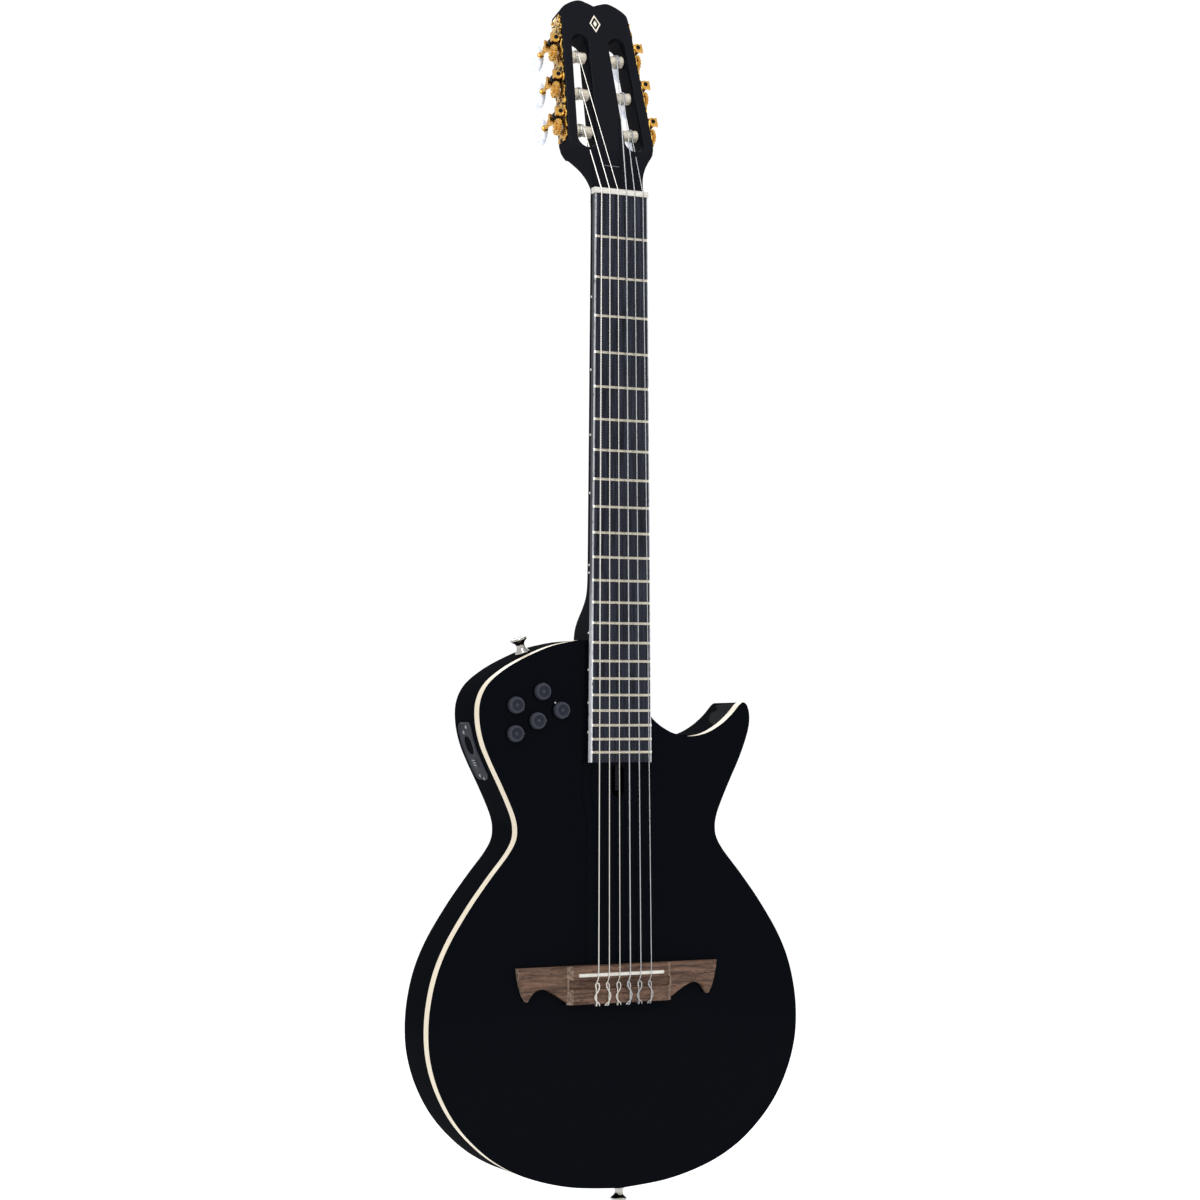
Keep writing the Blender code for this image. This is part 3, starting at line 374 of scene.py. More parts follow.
def walnutWood(name, shade, light, pore):
    # Walnut, planed and oiled: mid brown bands that wander along the bridge, dark pores and a
    # dry satin surface. Bands are 2 to 4 mm apart. End grain is the same wood, left paler.
    finish, shader, place = startFinish(name, IOR=1.3)
    wander = addNode(finish, "TexNoise", {"Scale": perMm(30), "Detail": 2}, {"Vector": place})
    bent = addNode(
        finish, "VectorMath", {"operation": "MULTIPLY_ADD", 1: (0.006, 0.006, 0.006)},
        {0: wander.outputs[1], 2: place}
    )
    grain = stretched(finish, bent.outputs[0], perMm(42), perMm(2.2), perMm(2.2))
    band = addNode(
        finish, "TexNoise", {"Scale": 1.0, "Detail": 7, "Roughness": 0.62}, {"Vector": grain}
    )
    colour = mixColours(finish, ramp(finish, band.outputs[0], 0.34, 0.64), srgb(shade), srgb(light))
    fine = stretched(finish, bent.outputs[0], perMm(7), perMm(0.45), perMm(0.45))
    pores = addNode(finish, "TexNoise", {"Scale": 1.0, "Detail": 3}, {"Vector": fine})
    dark = ramp(finish, pores.outputs[0], 0.56, 0.66, 0.0, 0.85)
    feed(finish, shader, Base_Color=fedMix(finish, dark, colour, srgb(pore)))
    feed(finish, shader, Roughness=ramp(finish, band.outputs[0], 0.3, 0.7, 0.5, 0.66))
    bumpFrom(finish, shader, ramp(finish, pores.outputs[0], 0.5, 0.68, 1.0, 0.0), 0.12, 0.7)
    return finish


def polishedBone(name, light, shade):
    # Bone, sawn and polished: off-white, a little translucent, with fine grey-yellow fibre lines.
    finish, shader, place = startFinish(
        name, IOR=1.55, Roughness=0.34, Subsurface_Weight=0.08,
        Subsurface_Radius=(0.002, 0.0015, 0.001), Subsurface_Scale=1.0
    )
    long = stretched(finish, place, perMm(9), perMm(0.8), perMm(0.8))
    fibre = addNode(finish, "TexNoise", {"Scale": 1.0, "Detail": 5}, {"Vector": long})
    feed(
        finish, shader,
        Base_Color=mixColours(
            finish, ramp(finish, fibre.outputs[0], 0.4, 0.7), srgb(light), srgb(shade)
        )
    )
    bumpFrom(finish, shader, fibre.outputs[0], 0.02, 0.4)
    return finish


def mouldedPlastic(name, colour, roughness, grit):
    # ABS or soft-touch plastic from a spark-eroded mould: even colour and an all-over fine grit,
    # which is drawn a little coarser than the real 0.1 mm.
    finish, shader, place = startFinish(name, Base_Color=srgb(colour), IOR=1.25)
    grain = addNode(finish, "TexNoise", {"Scale": perMm(grit), "Detail": 3}, {"Vector": place})
    feed(
        finish, shader,
        Roughness=ramp(finish, grain.outputs[0], 0.3, 0.7, roughness - 0.06, roughness + 0.08)
    )
    bumpFrom(finish, shader, grain.outputs[0], 0.03, 0.5)
    return finish


def platedMetal(name, colour, roughness, rub):
    # Electroplated and buffed metal: bright, with cloudy rub marks that only change its gloss.
    finish, shader, place = startFinish(name, Base_Color=srgb(colour), Metallic=1.0)
    cloud = addNode(finish, "TexNoise", {"Scale": perMm(rub), "Detail": 6}, {"Vector": place})
    feed(
        finish, shader,
        Roughness=ramp(finish, cloud.outputs[0], 0.3, 0.7, roughness * 0.7, roughness * 1.5)
    )
    return finish


def engravedGold():
    # Gold-plated stamped brass: raised scrollwork about 3 mm across, with darkened hollows.
    finish, shader, place = startFinish("engravedGoldPlate", Metallic=1.0)
    wander = addNode(finish, "TexNoise", {"Scale": perMm(6), "Detail": 1}, {"Vector": place})
    bent = addNode(
        finish, "VectorMath", {"operation": "MULTIPLY_ADD", 1: (0.004, 0.004, 0.004)},
        {0: wander.outputs[1], 2: place}
    )
    scroll = addNode(
        finish, "TexVoronoi", {"feature": "SMOOTH_F1", "Scale": perMm(3.2), "Smoothness": 0.35},
        {"Vector": bent.outputs[0]}
    )
    raised = ramp(finish, scroll.outputs[0], 0.66, 0.46)
    feed(finish, shader, Base_Color=mixColours(finish, raised, srgb("2C1D0D"), srgb("C9A050")))
    feed(finish, shader, Roughness=ramp(finish, raised, 0.0, 1.0, 0.5, 0.2))
    bumpFrom(finish, shader, raised, 0.35, 0.8)
    return finish


def pearlPlastic():
    # Cast pearl acetate: cool white with drifting brighter clouds 3 to 6 mm across, under gloss.
    finish, shader, place = startFinish(
        "pearlPlastic", IOR=1.49, Roughness=0.16, Coat_Weight=0.4, Coat_Roughness=0.08,
        Subsurface_Weight=0.15, Subsurface_Radius=(0.002, 0.002, 0.0025), Subsurface_Scale=1.0
    )
    drift = addNode(
        finish, "TexNoise", {"Scale": perMm(5), "Detail": 3, "Distortion": 1.6}, {"Vector": place}
    )
    colour = mixColours(
        finish, ramp(finish, drift.outputs[0], 0.35, 0.65), srgb("C9D3E6"), srgb("F6F9FF")
    )
    feed(finish, shader, Base_Color=colour)
    return finish


def woundString():
    # Silver-plated copper wire wound on floss: fine rings round the string. The real 0.2 mm wire
    # is drawn at 0.7 mm so that the rings show.
    finish, shader, place = startFinish("silverWoundString", Metallic=0.75, Roughness=0.3)
    high = addNode(
        finish, "TexWave",
        {"wave_type": "BANDS", "bands_direction": "Z", "Scale": perMm(0.7) / 6.283},
        {"Vector": place}
    )
    # painted highlight and shade: each ring is lighter on its crest and darker in the groove,
    # following the same bands as the bump
    feed(
        finish, shader,
        Base_Color=mixColours(finish, high.outputs[1], srgb("A3A09A"), srgb("E9E6E0"))
    )
    bumpFrom(finish, shader, high.outputs[1], 0.08, 0.6)
    return finish


def clearNylon():
    # Extruded nylon line: half clear and cool grey, glossy, with slow cloudy changes.
    finish, shader, place = startFinish(
        "clearNylon", IOR=1.5, Roughness=0.2, Transmission_Weight=0.35
    )
    cloud = addNode(finish, "TexNoise", {"Scale": perMm(8), "Detail": 2}, {"Vector": place})
    feed(
        finish, shader,
        Base_Color=mixColours(finish, cloud.outputs[0], srgb("A6A7AA"), srgb("D0D1D2"))
    )
    return finish


def circuitLaminate():
    # Glass-epoxy laminate under green solder mask: satin green with faint straight tracks.
    finish, shader, place = startFinish("circuitLaminate", IOR=1.5, Roughness=0.35)
    grid = addNode(
        finish, "TexWave",
        {
            "wave_type": "BANDS", "bands_direction": "X", "Scale": perMm(3) / 6.283,
            "Distortion": 0.4
        },
        {"Vector": place}
    )
    feed(
        finish, shader,
        Base_Color=mixColours(finish, grid.outputs[1], srgb("0E4A26"), srgb("1F7040"))
    )
    return finish


lacquer = blackLacquer("blackBodyLacquer", "04060B", 0.014)
# painted reflection: the headstock's copy of the same lacquer is a lighter black, standing in for
# the brighter light its tilted face catches
headLacquer = blackLacquer("headLacquerPaintedLighter", "121318", 0.03)
satinLacquer = neckLacquer()
celluloid = creamCelluloid()
boardWood = darkBoardWood("darkBoardWood")
# painted highlight: the board's side and eased corner are lightened where they catch the light
boardEdge = darkBoardWood("boardSideWithPaintedHighlight", edge=(0.06, 0.9))
boardCorner = darkBoardWood("boardCornerPaintedHighlight", edge=(0.6, 1.0))
walnut = walnutWood("walnutBridgeWood", "2F1F17", "6C5243", "20130D")
walnutEnd = walnutWood("walnutEndGrain", "4B3A30", "8A7768", "33251D")
bone = polishedBone("polishedBone", "C8C6C0", "B1ADA3")
rollerBone = polishedBone("rollerBone", "D2CABA", "A89F8D")
inlayShell = polishedBone("inlaidBone", "E6DFD0", "CFC6B4")
softPlastic = mouldedPlastic("softTouchPlastic", "31343D", 0.65, 0.5)
# painted shade: a darker copy of the knob plastic for the hollow of the dish
knobDishPaintedShade = mouldedPlastic("dishedKnobTopPaintedShade", "1A1D27", 0.6, 0.5)
panelPlastic = mouldedPlastic("mouldedPanelPlastic", "1F222B", 0.6, 0.4)
blackPlastic = mouldedPlastic("blackMouldedPlastic", "131418", 0.45, 0.4)
# painted shade: near-black for the insides of holes and bores
boreShade = mouldedPlastic("boreMouthPaintedShade", "050506", 0.8, 0.6)
gold = platedMetal("goldPlate", "C99B4C", 0.24, 5)
engraved = engravedGold()
nickel = platedMetal("nickelPlate", "A9A6A2", 0.1, 9)
fretWire = platedMetal("nickelSilverFretWire", "B4AE9F", 0.3, 5)
# painted highlight: near-white metal for the fret ends, standing in for their glint
fretEnd = platedMetal("fretEndPaintedHighlight", "FBFAF6", 0.55, 3)
blackSteel = platedMetal("blackenedSteel", "1C1C20", 0.3, 4)
bareSteel = platedMetal("bareSteel", "8D8D90", 0.35, 6)
copper = platedMetal("copperFoil", "B87850", 0.35, 6)
pearl = pearlPlastic()
silverString = woundString()
nylonString = clearNylon()
laminate = circuitLaminate()

print("stage: body")

bodySizes = {
    "depth": 54.0,
    "backRound": 3.0,
    "frontRound": 0.7,
    "bindingFrom": 1.0,
    "bindingTo": 10.6,
    "bindingThick": 2.0,
    "topThick": 3.0,
    "neckJoin": 275.3,
    "steps": 8,
}
lowerBout = [(0, -176.6), (44, -172.6), (82, -162.6), (110.7, -148.4), (133, -130), (149.5, -110)]
lowerBout += [(161.5, -87), (168.3, -64), (170.2, -42), (168.3, -19), (162.3, 5.5), (151.5, 29.3)]
lowerBout += [(134.2, 56), (116.2, 79.5), (100.2, 98.7), (93.4, 110), (92, 119.5), (93.6, 129)]
lowerBout += [(98.4, 141), (106, 157), (115.2, 175.3), (121.8, 191)]
bassShoulder = [
    (125.4, 208), (124.7, 224.5), (117.6, 238.5), (103.4, 250.2), (85, 260.3), (62.4, 269.6),
    (44, 274)
]
cutawayEdge = [
    (125.7, 204), (126.3, 213.5), (124.6, 220.8), (121.4, 224.1), (117.4, 222.6), (108.9, 213.6)
]
cutawayEdge += [
    (97.7, 204.8), (84, 198), (69, 195.5), (54.5, 197.6), (43, 202.8), (33.5, 210), (27, 219.5),
    (25, 232)
]


def bodyOutline(steps):
    bassHalf = [(-x, z) for x, z in reversed(lowerBout + bassShoulder)]
    line = catmull(lowerBout + cutawayEdge, steps)
    line += [Vector((25, bodySizes["neckJoin"])), Vector((-36, bodySizes["neckJoin"]))]
    line += catmull(bassHalf, steps)[:-1]
    return [Vector((p.x, zAt(p.y))) for p in line]


outline = bodyOutline(bodySizes["steps"])


def makeBody():
    deep, back = bodySizes["depth"], bodySizes["backRound"]
    wall = [(0.0, bodySizes["bindingTo"])] + [
        p for p in edgeProfile(20, deep, 0, back, 6) if p[1] > 20
    ]
    cover = [(-74 + p.x, zAt(198) + p.y) for p in roundedShape(26.3, 34.3, 9.3)]
    shell = plate("bodyShell", outline, wall, lacquer, pockets=[(cover, 2.3)], smoothUnder=30)
    fit(shell, "guitar", "black_lacquered_wood", "body_core")
    slot = [Vector((x, zAt(158.7) + z)) for x, z in roundedShape(5.5, 13.7, 5.4)]
    front = edgeProfile(0, bodySizes["bindingFrom"], bodySizes["frontRound"], 0, 4)
    front += [(2.3, bodySizes["bindingFrom"]), (2.3, bodySizes["topThick"])]
    top = plate("topPanel", outline, front, lacquer, holes=[slot], smoothUnder=30)
    fit(top, "guitar", "black_lacquered_wood", "soundboard")


def makeBinding():
    near, far = bodySizes["bindingFrom"], bodySizes["bindingTo"]
    inner = insetLoop(outline, bodySizes["bindingThick"])
    rows = [(outline, near), (outline, far), (inner, far), (inner, near)]
    strip = skin(
        "bindingStrip", [[(p.x, y, p.y) for p in line] for line, y in rows], celluloid, closed=True
    )
    fit(strip, "guitar", "cream_binding", "top_binding")


def screwHead(name, place, radius, finish, body="guitar", slotName="nickel_plate"):
    # a domed head with a cross recess, its underside at the place
    work = bmesh.new()
    dome = [(radius, 0.0)] + [
        (radius * math.cos(t), radius * 0.42 * math.sin(t)) for t in (0.25, 0.55, 0.85, 1.15)
    ]
    addSkin(work, ringLoops(dome, 16))
    for wide, long in ((0.16, 0.62), (0.62, 0.16)):  # dark cross set just proud of the dome
        rim = [
            (sx * radius * wide, sy * radius * long) for sx,
            sy in ((1, 1), (-1, 1), (-1, -1), (1, -1))
        ]
        addSkin(work, [[(x, y, z) for x, y in rim] for z in (radius * 0.2, radius * 0.40)])
    head = finishMesh(name, work, finish, place)
    return fit(head, body, slotName)


def makeRearCover():
    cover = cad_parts["control_cover"]
    cover.data.materials.clear()
    cover.data.materials.append(blackPlastic)
    for k, (x, z) in enumerate(((-95, 227), (-53, 227), (-95, 169), (-53, 169)), 1):
        place = axes((x, bodySizes["depth"], zAt(z)), (1, 0, 0), (0, 0, -1))
        screwHead(f"coverScrew{k}", place, 2.0, blackSteel, "guitar", "black_plated_steel")


makeBody()
makeBinding()
makeRearCover()

print("stage: side panel and jack")

panelSizes = {
    "middle": 182.5, "halfLong": 25.0, "near": 19.0, "far": 44.5, "round": 5.7, "proud": 0.7,
    "jackAt": 5.9
}


def wallPlace(aboveSaddle):  # X out of the bass wall, Y towards the back, Z down the wall
    line = bodyOutline(8)
    target = zAt(aboveSaddle)
    near = [k for k in range(1, len(line) - 1) if line[k].x < -80]
    best = min(near, key=lambda k: abs(line[k].y - target))
    along = (line[best + 1] - line[best - 1]).normalized()
    return axes((line[best].x, 0, line[best].y), (along.y, 0, -along.x), (0, 1, 0))


def onWall(work, wall, middle):  # bends points given across a flat panel onto the curved wall
    line = [p for p in bodyOutline(24) if p.x < -80 and abs(p.y - zAt(panelSizes["middle"])) < 45]
    inverse = wall.inverted()
    bend = [inverse @ Vector((p.x, 0, p.y)) for p in line]
    for vert in work.verts:
        k = min(range(1, len(bend) - 1), key=lambda j: abs(bend[j].z - vert.co.z))
        slope = (bend[k + 1].x - bend[k - 1].x) / (bend[k + 1].z - bend[k - 1].z)
        vert.co.x += bend[k].x + slope * (vert.co.z - bend[k].z)
        vert.co.y += middle


def bentPlate(name, shape, profile, finish, holes=(), holeRound=0.5):
    # shape in depth and height; profile gives inset and how far it stands out, from the outside in
    wall = wallPlace(panelSizes["middle"])
    work = bmesh.new()
    sign = 1 if (wall.to_3x3() @ Vector((0, 0, 1))).z > 0 else -1
    shape = [Vector((p.x, p.y * sign)) for p in shape]
    shape = counterClockwise(densified(shape))
    rows = addSkin(
        work, [[(out, p.x, p.y) for p in insetLoop(shape, inset)] for inset, out in profile],
        capStart=False, capEnd=False
    )
    fronts, backs = [rows[0]], [rows[-1]]
    for hole in holes:
        hole = counterClockwise([Vector((p.x, p.y * sign)) for p in hole])
        sides = [
            (-holeRound, profile[0][1]), (-holeRound * 0.3, profile[0][1] - holeRound * 0.3),
            (0, profile[0][1] - holeRound), (0, profile[-1][1])
        ]
        rows = addSkin(
            work, [[(out, p.x, p.y) for p in insetLoop(hole, inset)] for inset, out in sides],
            capStart=False, capEnd=False
        )
        fronts.append(rows[0])
        backs.append(rows[-1])
    fillFace(work, fronts)
    fillFace(work, backs)
    onWall(work, wall, (panelSizes["near"] + panelSizes["far"]) / 2)
    return finishMesh(name, work, finish, wall, 40)


def densified(line, longest=3.0):
    dense = []
    for a, b in zip(line, line[1:] + line[:1]):
        count = max(1, int((b - a).length / longest))
        dense += [a.lerp(b, k / count) for k in range(count)]
    return dense


def makeSidePanel():
    wall = wallPlace(panelSizes["middle"])
    middle = (panelSizes["near"] + panelSizes["far"]) / 2
    half = (panelSizes["far"] - panelSizes["near"]) / 2
    upSign = 1 if (wall.to_3x3() @ Vector((0, 0, 1))).z > 0 else -1
    long, proud, corner = panelSizes["halfLong"], panelSizes["proud"], panelSizes["round"]
    dish = [Vector((p.x, p.y + panelSizes["jackAt"])) for p in roundedShape(6.6, 8.0, 6.5, 8)]
    sides = [(0.5, proud), (0.15, proud - 0.15), (0, proud - 0.5), (0, -3.0)]
    base = bentPlate(
        "panelPlate", roundedShape(half, long, corner), sides, panelPlastic, [dish], 0.7
    )
    fit(base, "guitar", "grey_rubbery_plastic", "side_panel")
    inner = roundedShape(half - 1.5, long - 1.5, corner - 1.2)
    sides = [(0.3, proud + 0.5), (0, proud + 0.2), (0, proud - 0.6)]
    rim = bentPlate(
        "panelRim", roundedShape(half - 0.1, long - 0.1, corner), sides, softPlastic, [inner], 0.3
    )
    fit(rim, "guitar", "grey_rubbery_plastic")
    latch = [Vector((p.x + 0.6, p.y - 9.5)) for p in roundedShape(4.2, 4.6, 1.4)]
    sides = [(0.6, proud + 0.7), (0.2, proud + 0.5), (0, proud), (0, -0.5)]
    fit(bentPlate("panelLatch", latch, sides, softPlastic), "guitar", "grey_rubbery_plastic")
    for k in range(3):
        rib = [Vector((p.x + 0.6, p.y - 7.2 - 2.2 * k)) for p in roundedShape(2.8, 0.4, 0.35, 2)]
        fit(
            bentPlate(
                f"latchRib{k + 1}", rib, [(0.15, proud + 1.1), (0, proud + 0.9), (0, proud + 0.3)],
                bareSteel
            ),
            "guitar", "bare_steel"
        )
    screws = ((-3.0, 21.0), (3.4, 18.0), (-3.0, -21.0), (3.2, -18.4))
    for k, (across, up) in enumerate(screws, 1):
        spot = wallPlace(panelSizes["middle"] + up)
        place = spot @ Matrix.Translation(
            (proud - 0.05, middle + across, 0)
        ) @ Matrix.Rotation(math.pi / 2, 4, "Y")
        screwHead(f"panelScrew{k}", place, 1.6, bareSteel, "guitar", "bare_steel")
    socket = wall @ Matrix.Translation(
        (0, middle, upSign * panelSizes["jackAt"])
    ) @ Matrix.Rotation(math.pi / 2, 4, "Y")
    ring = [
        (5.6, -24), (6.6, -7), (6.6, -4.6), (6.2, -4.1), (4.2, -3.9), (3.5, -4.2), (3.25, -4.8),
        (3.25, -24)
    ]
    jack = skin("jackBarrel", ringLoops(ring, 32), blackSteel, socket, closed=True)
    fit(jack, "guitar", "nickel_plate", "jack_socket")
    # painted shade: the near-black bore end and well stand for the shade inside the jack's bore and
    # round its barrel
    back = turned("jackBoreEnd", [(3.4, -25), (3.4, -22)], 24, boreShade, socket)
    fit(back, "guitar", "black_plastic")
    well = [(7.6, -1.0), (7.4, -5.0), (7.4, -6.0), (6.7, -6.0), (6.7, -5.0), (7.0, -1.0)]
    fit(
        skin("jackWell", ringLoops(well, 32), boreShade, socket, closed=True), "guitar",
        "black_plastic"
    )


makeSidePanel()

print("stage: strap buttons")

strapPlaces = {  # x, height above the saddle line, turn in degrees, depth behind the face
    "shoulder": (-74.8, 264.6, 18.0, 27.0),
    "tail": (10.0, -176.3, 177.0, 21.0),
}


def makeStrapButton(name, node, x, z, turn, depth):
    tilt = math.radians(turn)
    out = Vector((-math.sin(tilt), 0, math.cos(tilt)))
    place = axes((x, depth, zAt(z)), Vector((0, 1, 0)).cross(out), (0, 1, 0))
    profile = [
        (2.0, -6), (6.2, 0.2), (6.2, 1.2), (5.6, 2.2), (4.4, 3.6), (3.7, 5.2), (3.6, 7.4),
        (4.3, 9.2)
    ]
    profile += [
        (6.0, 10.6), (7.0, 11.4), (7.2, 12.2), (6.9, 13.0), (6.1, 13.5), (4.2, 13.6), (3.9, 13.1),
        (3.0, 13.1)
    ]
    button = turned(name, profile, 40, nickel, place)
    fit(button, "guitar", "nickel_plate", node)
    screwHead(name + "Screw", place @ Matrix.Translation((0, 0, 12.9)), 2.9, nickel)


makeStrapButton("strapButtonShoulder", "strap_button_top", *strapPlaces["shoulder"])
makeStrapButton("strapButtonTail", "strap_button_end", *strapPlaces["tail"])

print("stage: neck and headstock")

neckSizes = {
    "boardEnd": 174.0, "nutHalf": 24.7, "taper": -0.0078, "boardThickAtNut": 6.5, "gap": 0.3
}
headSizes = {
    "tilt": 15.0,
    "start": 656.0,
    "thick": 21.0,
    "halfAtStart": 43.2,
    "taper": 0.066,
    "slotLow": 38.0,
    "slotHigh": 146.0,
    "edge": 0.9,
}


def boardFace(s):
    return -4.9 - 0.0099 * s


def boardHalf(s):
    return neckSizes["nutHalf"] + neckSizes["taper"] * (s - scaleLength)


def boardBack(s):
    share = max(0.0, (s - bodySizes["neckJoin"]) / (scaleLength - bodySizes["neckJoin"]))
    return -neckSizes["gap"] + share * (
        boardFace(scaleLength) + neckSizes["boardThickAtNut"] + neckSizes["gap"]
    )


headPlace = Matrix.Translation(
    (0, boardBack(headSizes["start"]) + 0.3, zAt(headSizes["start"]))
) @ Matrix.Rotation(-math.radians(headSizes["tilt"]), 4, "X")


def ovalHalf(half, front, back, squareness, sides=40):  # 1 is half an ellipse, less is squarer
    points = []
    for k in range(sides + 1):
        cosine, sine = round(
            math.cos(math.pi * k / sides), 9
        ), round(math.sin(math.pi * k / sides), 9)
        across = math.copysign(abs(cosine) ** squareness, cosine)
        points.append((half * across, front + (back - front) * sine**squareness))
    return points


def neckSection(s, half, back, squareness):
    return [
        Vector((x, y, zAt(s))) for x, y in ovalHalf(half, boardBack(s) + 0.05, back, squareness)
    ]


# in the headstock's plane, where the neck grows square
def rootSection(up, half, back, squareness):
    proud = -0.03 * min(1.0, up / 30)  # just in front of the head, so that no seam shows
    return [headPlace @ Vector((x, y, up)) for x, y in ovalHalf(half, proud, back, squareness)]


def headOutline(steps=6):
    def side(up):
        return headSizes["halfAtStart"] - headSizes["taper"] * up

    lower = [Vector(p) for p in ((35.3, 33.2), (37.4, 36.0), (39.3, 40.0), (side(46), 46))]
    upper = catmull(
        ((side(165), 165), (30.6, 170.6), (23.5, 176), (14, 179.6), (6.4, 178), (0, 175.5)), steps
    )
    half = lower + upper
    return half + [Vector((-p.x, p.y)) for p in reversed(half[:-1])]


def slotEdges(up):
    return 33.9 - 0.06 * up, 14.9 - 0.04 * up


def slotOutline(side, steps=16):
    line = []
    for end, turn in ((headSizes["slotLow"], -1), (headSizes["slotHigh"], 1)):
        outer, inner = slotEdges(end)
        radius = (outer - inner) / 2
        outer, inner = slotEdges(end - turn * radius)
        for k in range(steps + 1):
            t = math.pi * k / steps
            across = (outer + inner) / 2 + turn * radius * math.cos(t)
            line.append(Vector((side * across, end - turn * radius * (1 - math.sin(t)))))
    return line if side > 0 else line[::-1]


def makeNeck():
    knots = [
        (275.6, 26.4, 52.5, 0.68), (283, 26.6, 51.0, 0.7), (289, 26.7, 47.5, 0.72),
        (295, 26.8, 41.5, 0.75)
    ]
    knots += [
        (303.6, 26.9, 30.5, 0.82), (312, 26.9, 21.8, 0.9), (322, 26.8, 17.2, 0.94),
        (342, 26.7, 15.4, 0.95)
    ]
    knots += [
        (400, 26.3, 14.0, 0.95), (460, 25.9, 12.6, 0.95), (530, 25.4, 11.5, 0.95),
        (600, 24.8, 10.6, 0.95)
    ]
    knots += [(632, 24.6, 10.6, 0.95), (645, 24.5, 12.4, 0.95)]
    root = [
        (0.6, 24.3, 17.8, 1.0), (6, 24.4, 18.8, 0.85), (14, 25.7, 19.8, 0.68),
        (22, 28.8, 20.6, 0.5), (29, 33.0, 21.0, 0.3)
    ]
    root += [(34, 36.6, 21.0, 0.16), (37.5, 38.4, 20.9, 0.1)]
    loops = [neckSection(*p) for p in catmull([Vector(k) for k in knots], 4)]
    loops += [rootSection(*p) for p in catmull([Vector(k) for k in root], 4)]
    shaft = skin("neckShaft", loops, satinLacquer, smoothUnder=45)
    fit(shaft, "guitar", "black_lacquered_wood", "neck")
    slots = [counterClockwise(slotOutline(side)) for side in (-1, 1)]
    line = counterClockwise(headOutline())
    profile = edgeProfile(0, headSizes["thick"], headSizes["edge"], headSizes["edge"])
    head = plate(
        "headstock", line, profile, headLacquer, headPlace, holes=slots, holeRound=0.9,
        smoothUnder=42
    )
    fit(head, "guitar", "black_lacquered_wood")


def makeHeadInlay():
    # a plain generic mark: an open diamond with a small one inside, and a hairline near the nut
    outer = [Vector(p) for p in ((-1, 149.5), (4.2, 158), (-1, 166.5), (-6.2, 158))]
    inner = insetLoop(outer, 1.1)
    small = [Vector(p) for p in ((-1, 154.9), (0.9, 158), (-1, 161.1), (-2.9, 158))]
    flush = edgeProfile(-0.12, 0.3, 0.05, 0.0, 1)
    fit(
        plate("headInlayFrame", outer, flush, inlayShell, headPlace, holes=[inner], holeRound=0.02),
        "guitar", "cream_binding"
    )
    fit(plate("headInlayDiamond", small, flush, inlayShell, headPlace), "guitar", "cream_binding")
    hair = [Vector(p) for p in ((-12, 21.5), (4, 21.5), (4, 21.9), (-12, 21.9))]
    fit(plate("headHairline", hair, flush, bareSteel, headPlace), "guitar", "bare_steel")


makeNeck()
makeHeadInlay()

print("stage: fretboard")

fretSizes = {
    "count": 22, "crown": 0.95, "halfFoot": 1.25, "dots": (3, 5, 7, 9, 12, 15, 17, 19, 21),
    "dotRadius": 1.0
}


def fretAt(number):
    return scaleLength * 2 ** (-number / 12)


def makeFretboard():
    heights = [neckSizes["boardEnd"], bodySizes["neckJoin"], 400, 520, scaleLength - 0.1]
    loops = []
    for s in heights:
        half, face, back = boardHalf(s), boardFace(s), boardBack(s)
        corner = [
            (half - 1.3, face), (half - 0.35, face + 0.25), (half, face + 0.9), (half, face + 5.0),
            (half, back)
        ]
        line = corner + [(-x, y) for x, y in reversed(corner)]
        loops.append([(x, y, zAt(s)) for x, y in line])
    board = skin("fingerboard", loops, boardWood, smoothUnder=50)
    board.data.materials.append(boardEdge)
    board.data.materials.append(boardCorner)
    board.data.materials.append(satinLacquer)
    for face in board.data.polygons:  # corner and side with painted highlight, and the black riser behind the side
        slant, middle = abs(face.normal.x), face.center / mm
        deep = middle.y - boardFace(middle.z + hangerHeight)
        face.material_index = 0 if slant < 0.2 else 3 if deep > 5.2 else 1 if slant > 0.98 else 2
    fit(board, "guitar", "dark_fretboard_wood", "fretboard")


def makeFrets():
    work = bmesh.new()
    for number in range(1, fretSizes["count"] + 1):
        s = fretAt(number)
        half, face, foot = boardHalf(s) - 0.15, boardFace(s), fretSizes["halfFoot"]
        loops = []
        for x, shrink in (
            (-half, 0.1), (-half + 0.45, 0.8), (-half + 1.1, 1), (half - 1.1, 1),
            (half - 0.45, 0.8), (half, 0.1)
        ):
            crown = [(foot, 0.3)] + [
                (foot * math.cos(t), -fretSizes["crown"] * shrink * math.sin(t))
                for t in (0, 0.5, 1, 1.57, 2.14, 2.64, 3.14)
            ] + [(-foot, 0.3)]
            loops.append([(x, face + y, zAt(s) + z) for z, y in crown])
        addSkin(work, loops)
    frets = fit(finishMesh("fretWires", work, fretWire), "guitar", "bare_steel")
    frets.data.materials.append(fretEnd)
    for face in frets.data.polygons:  # painted highlight: the fret ends get a near-white metal so they show brighter than the crowns
        middle = face.center / mm
        if abs(middle.x) > boardHalf(middle.z + hangerHeight) - 1.15:
            face.material_index = 1


def makeSideDots():
    radius = fretSizes["dotRadius"]
    for number in fretSizes["dots"]:
        s = (fretAt(number) + fretAt(number - 1)) / 2
        for k, shift in enumerate((-3.2, 3.2) if number == 12 else (0,)):
            x, y = -boardHalf(s) - 0.02, boardBack(s) - 1.6
            place = axes((x, y, zAt(s + shift)), (0, 0, -1), (0, 1, 0))
            dot = turned(
                f"sideDot{number}x{k}", [(radius, -0.5), (radius, 0.02), (radius - 0.3, 0.08)], 16,
                bone, place
            )
            fit(dot, "guitar", "bone")


makeFretboard()
makeFrets()
makeSideDots()

print("stage: nut, bridge and saddle")

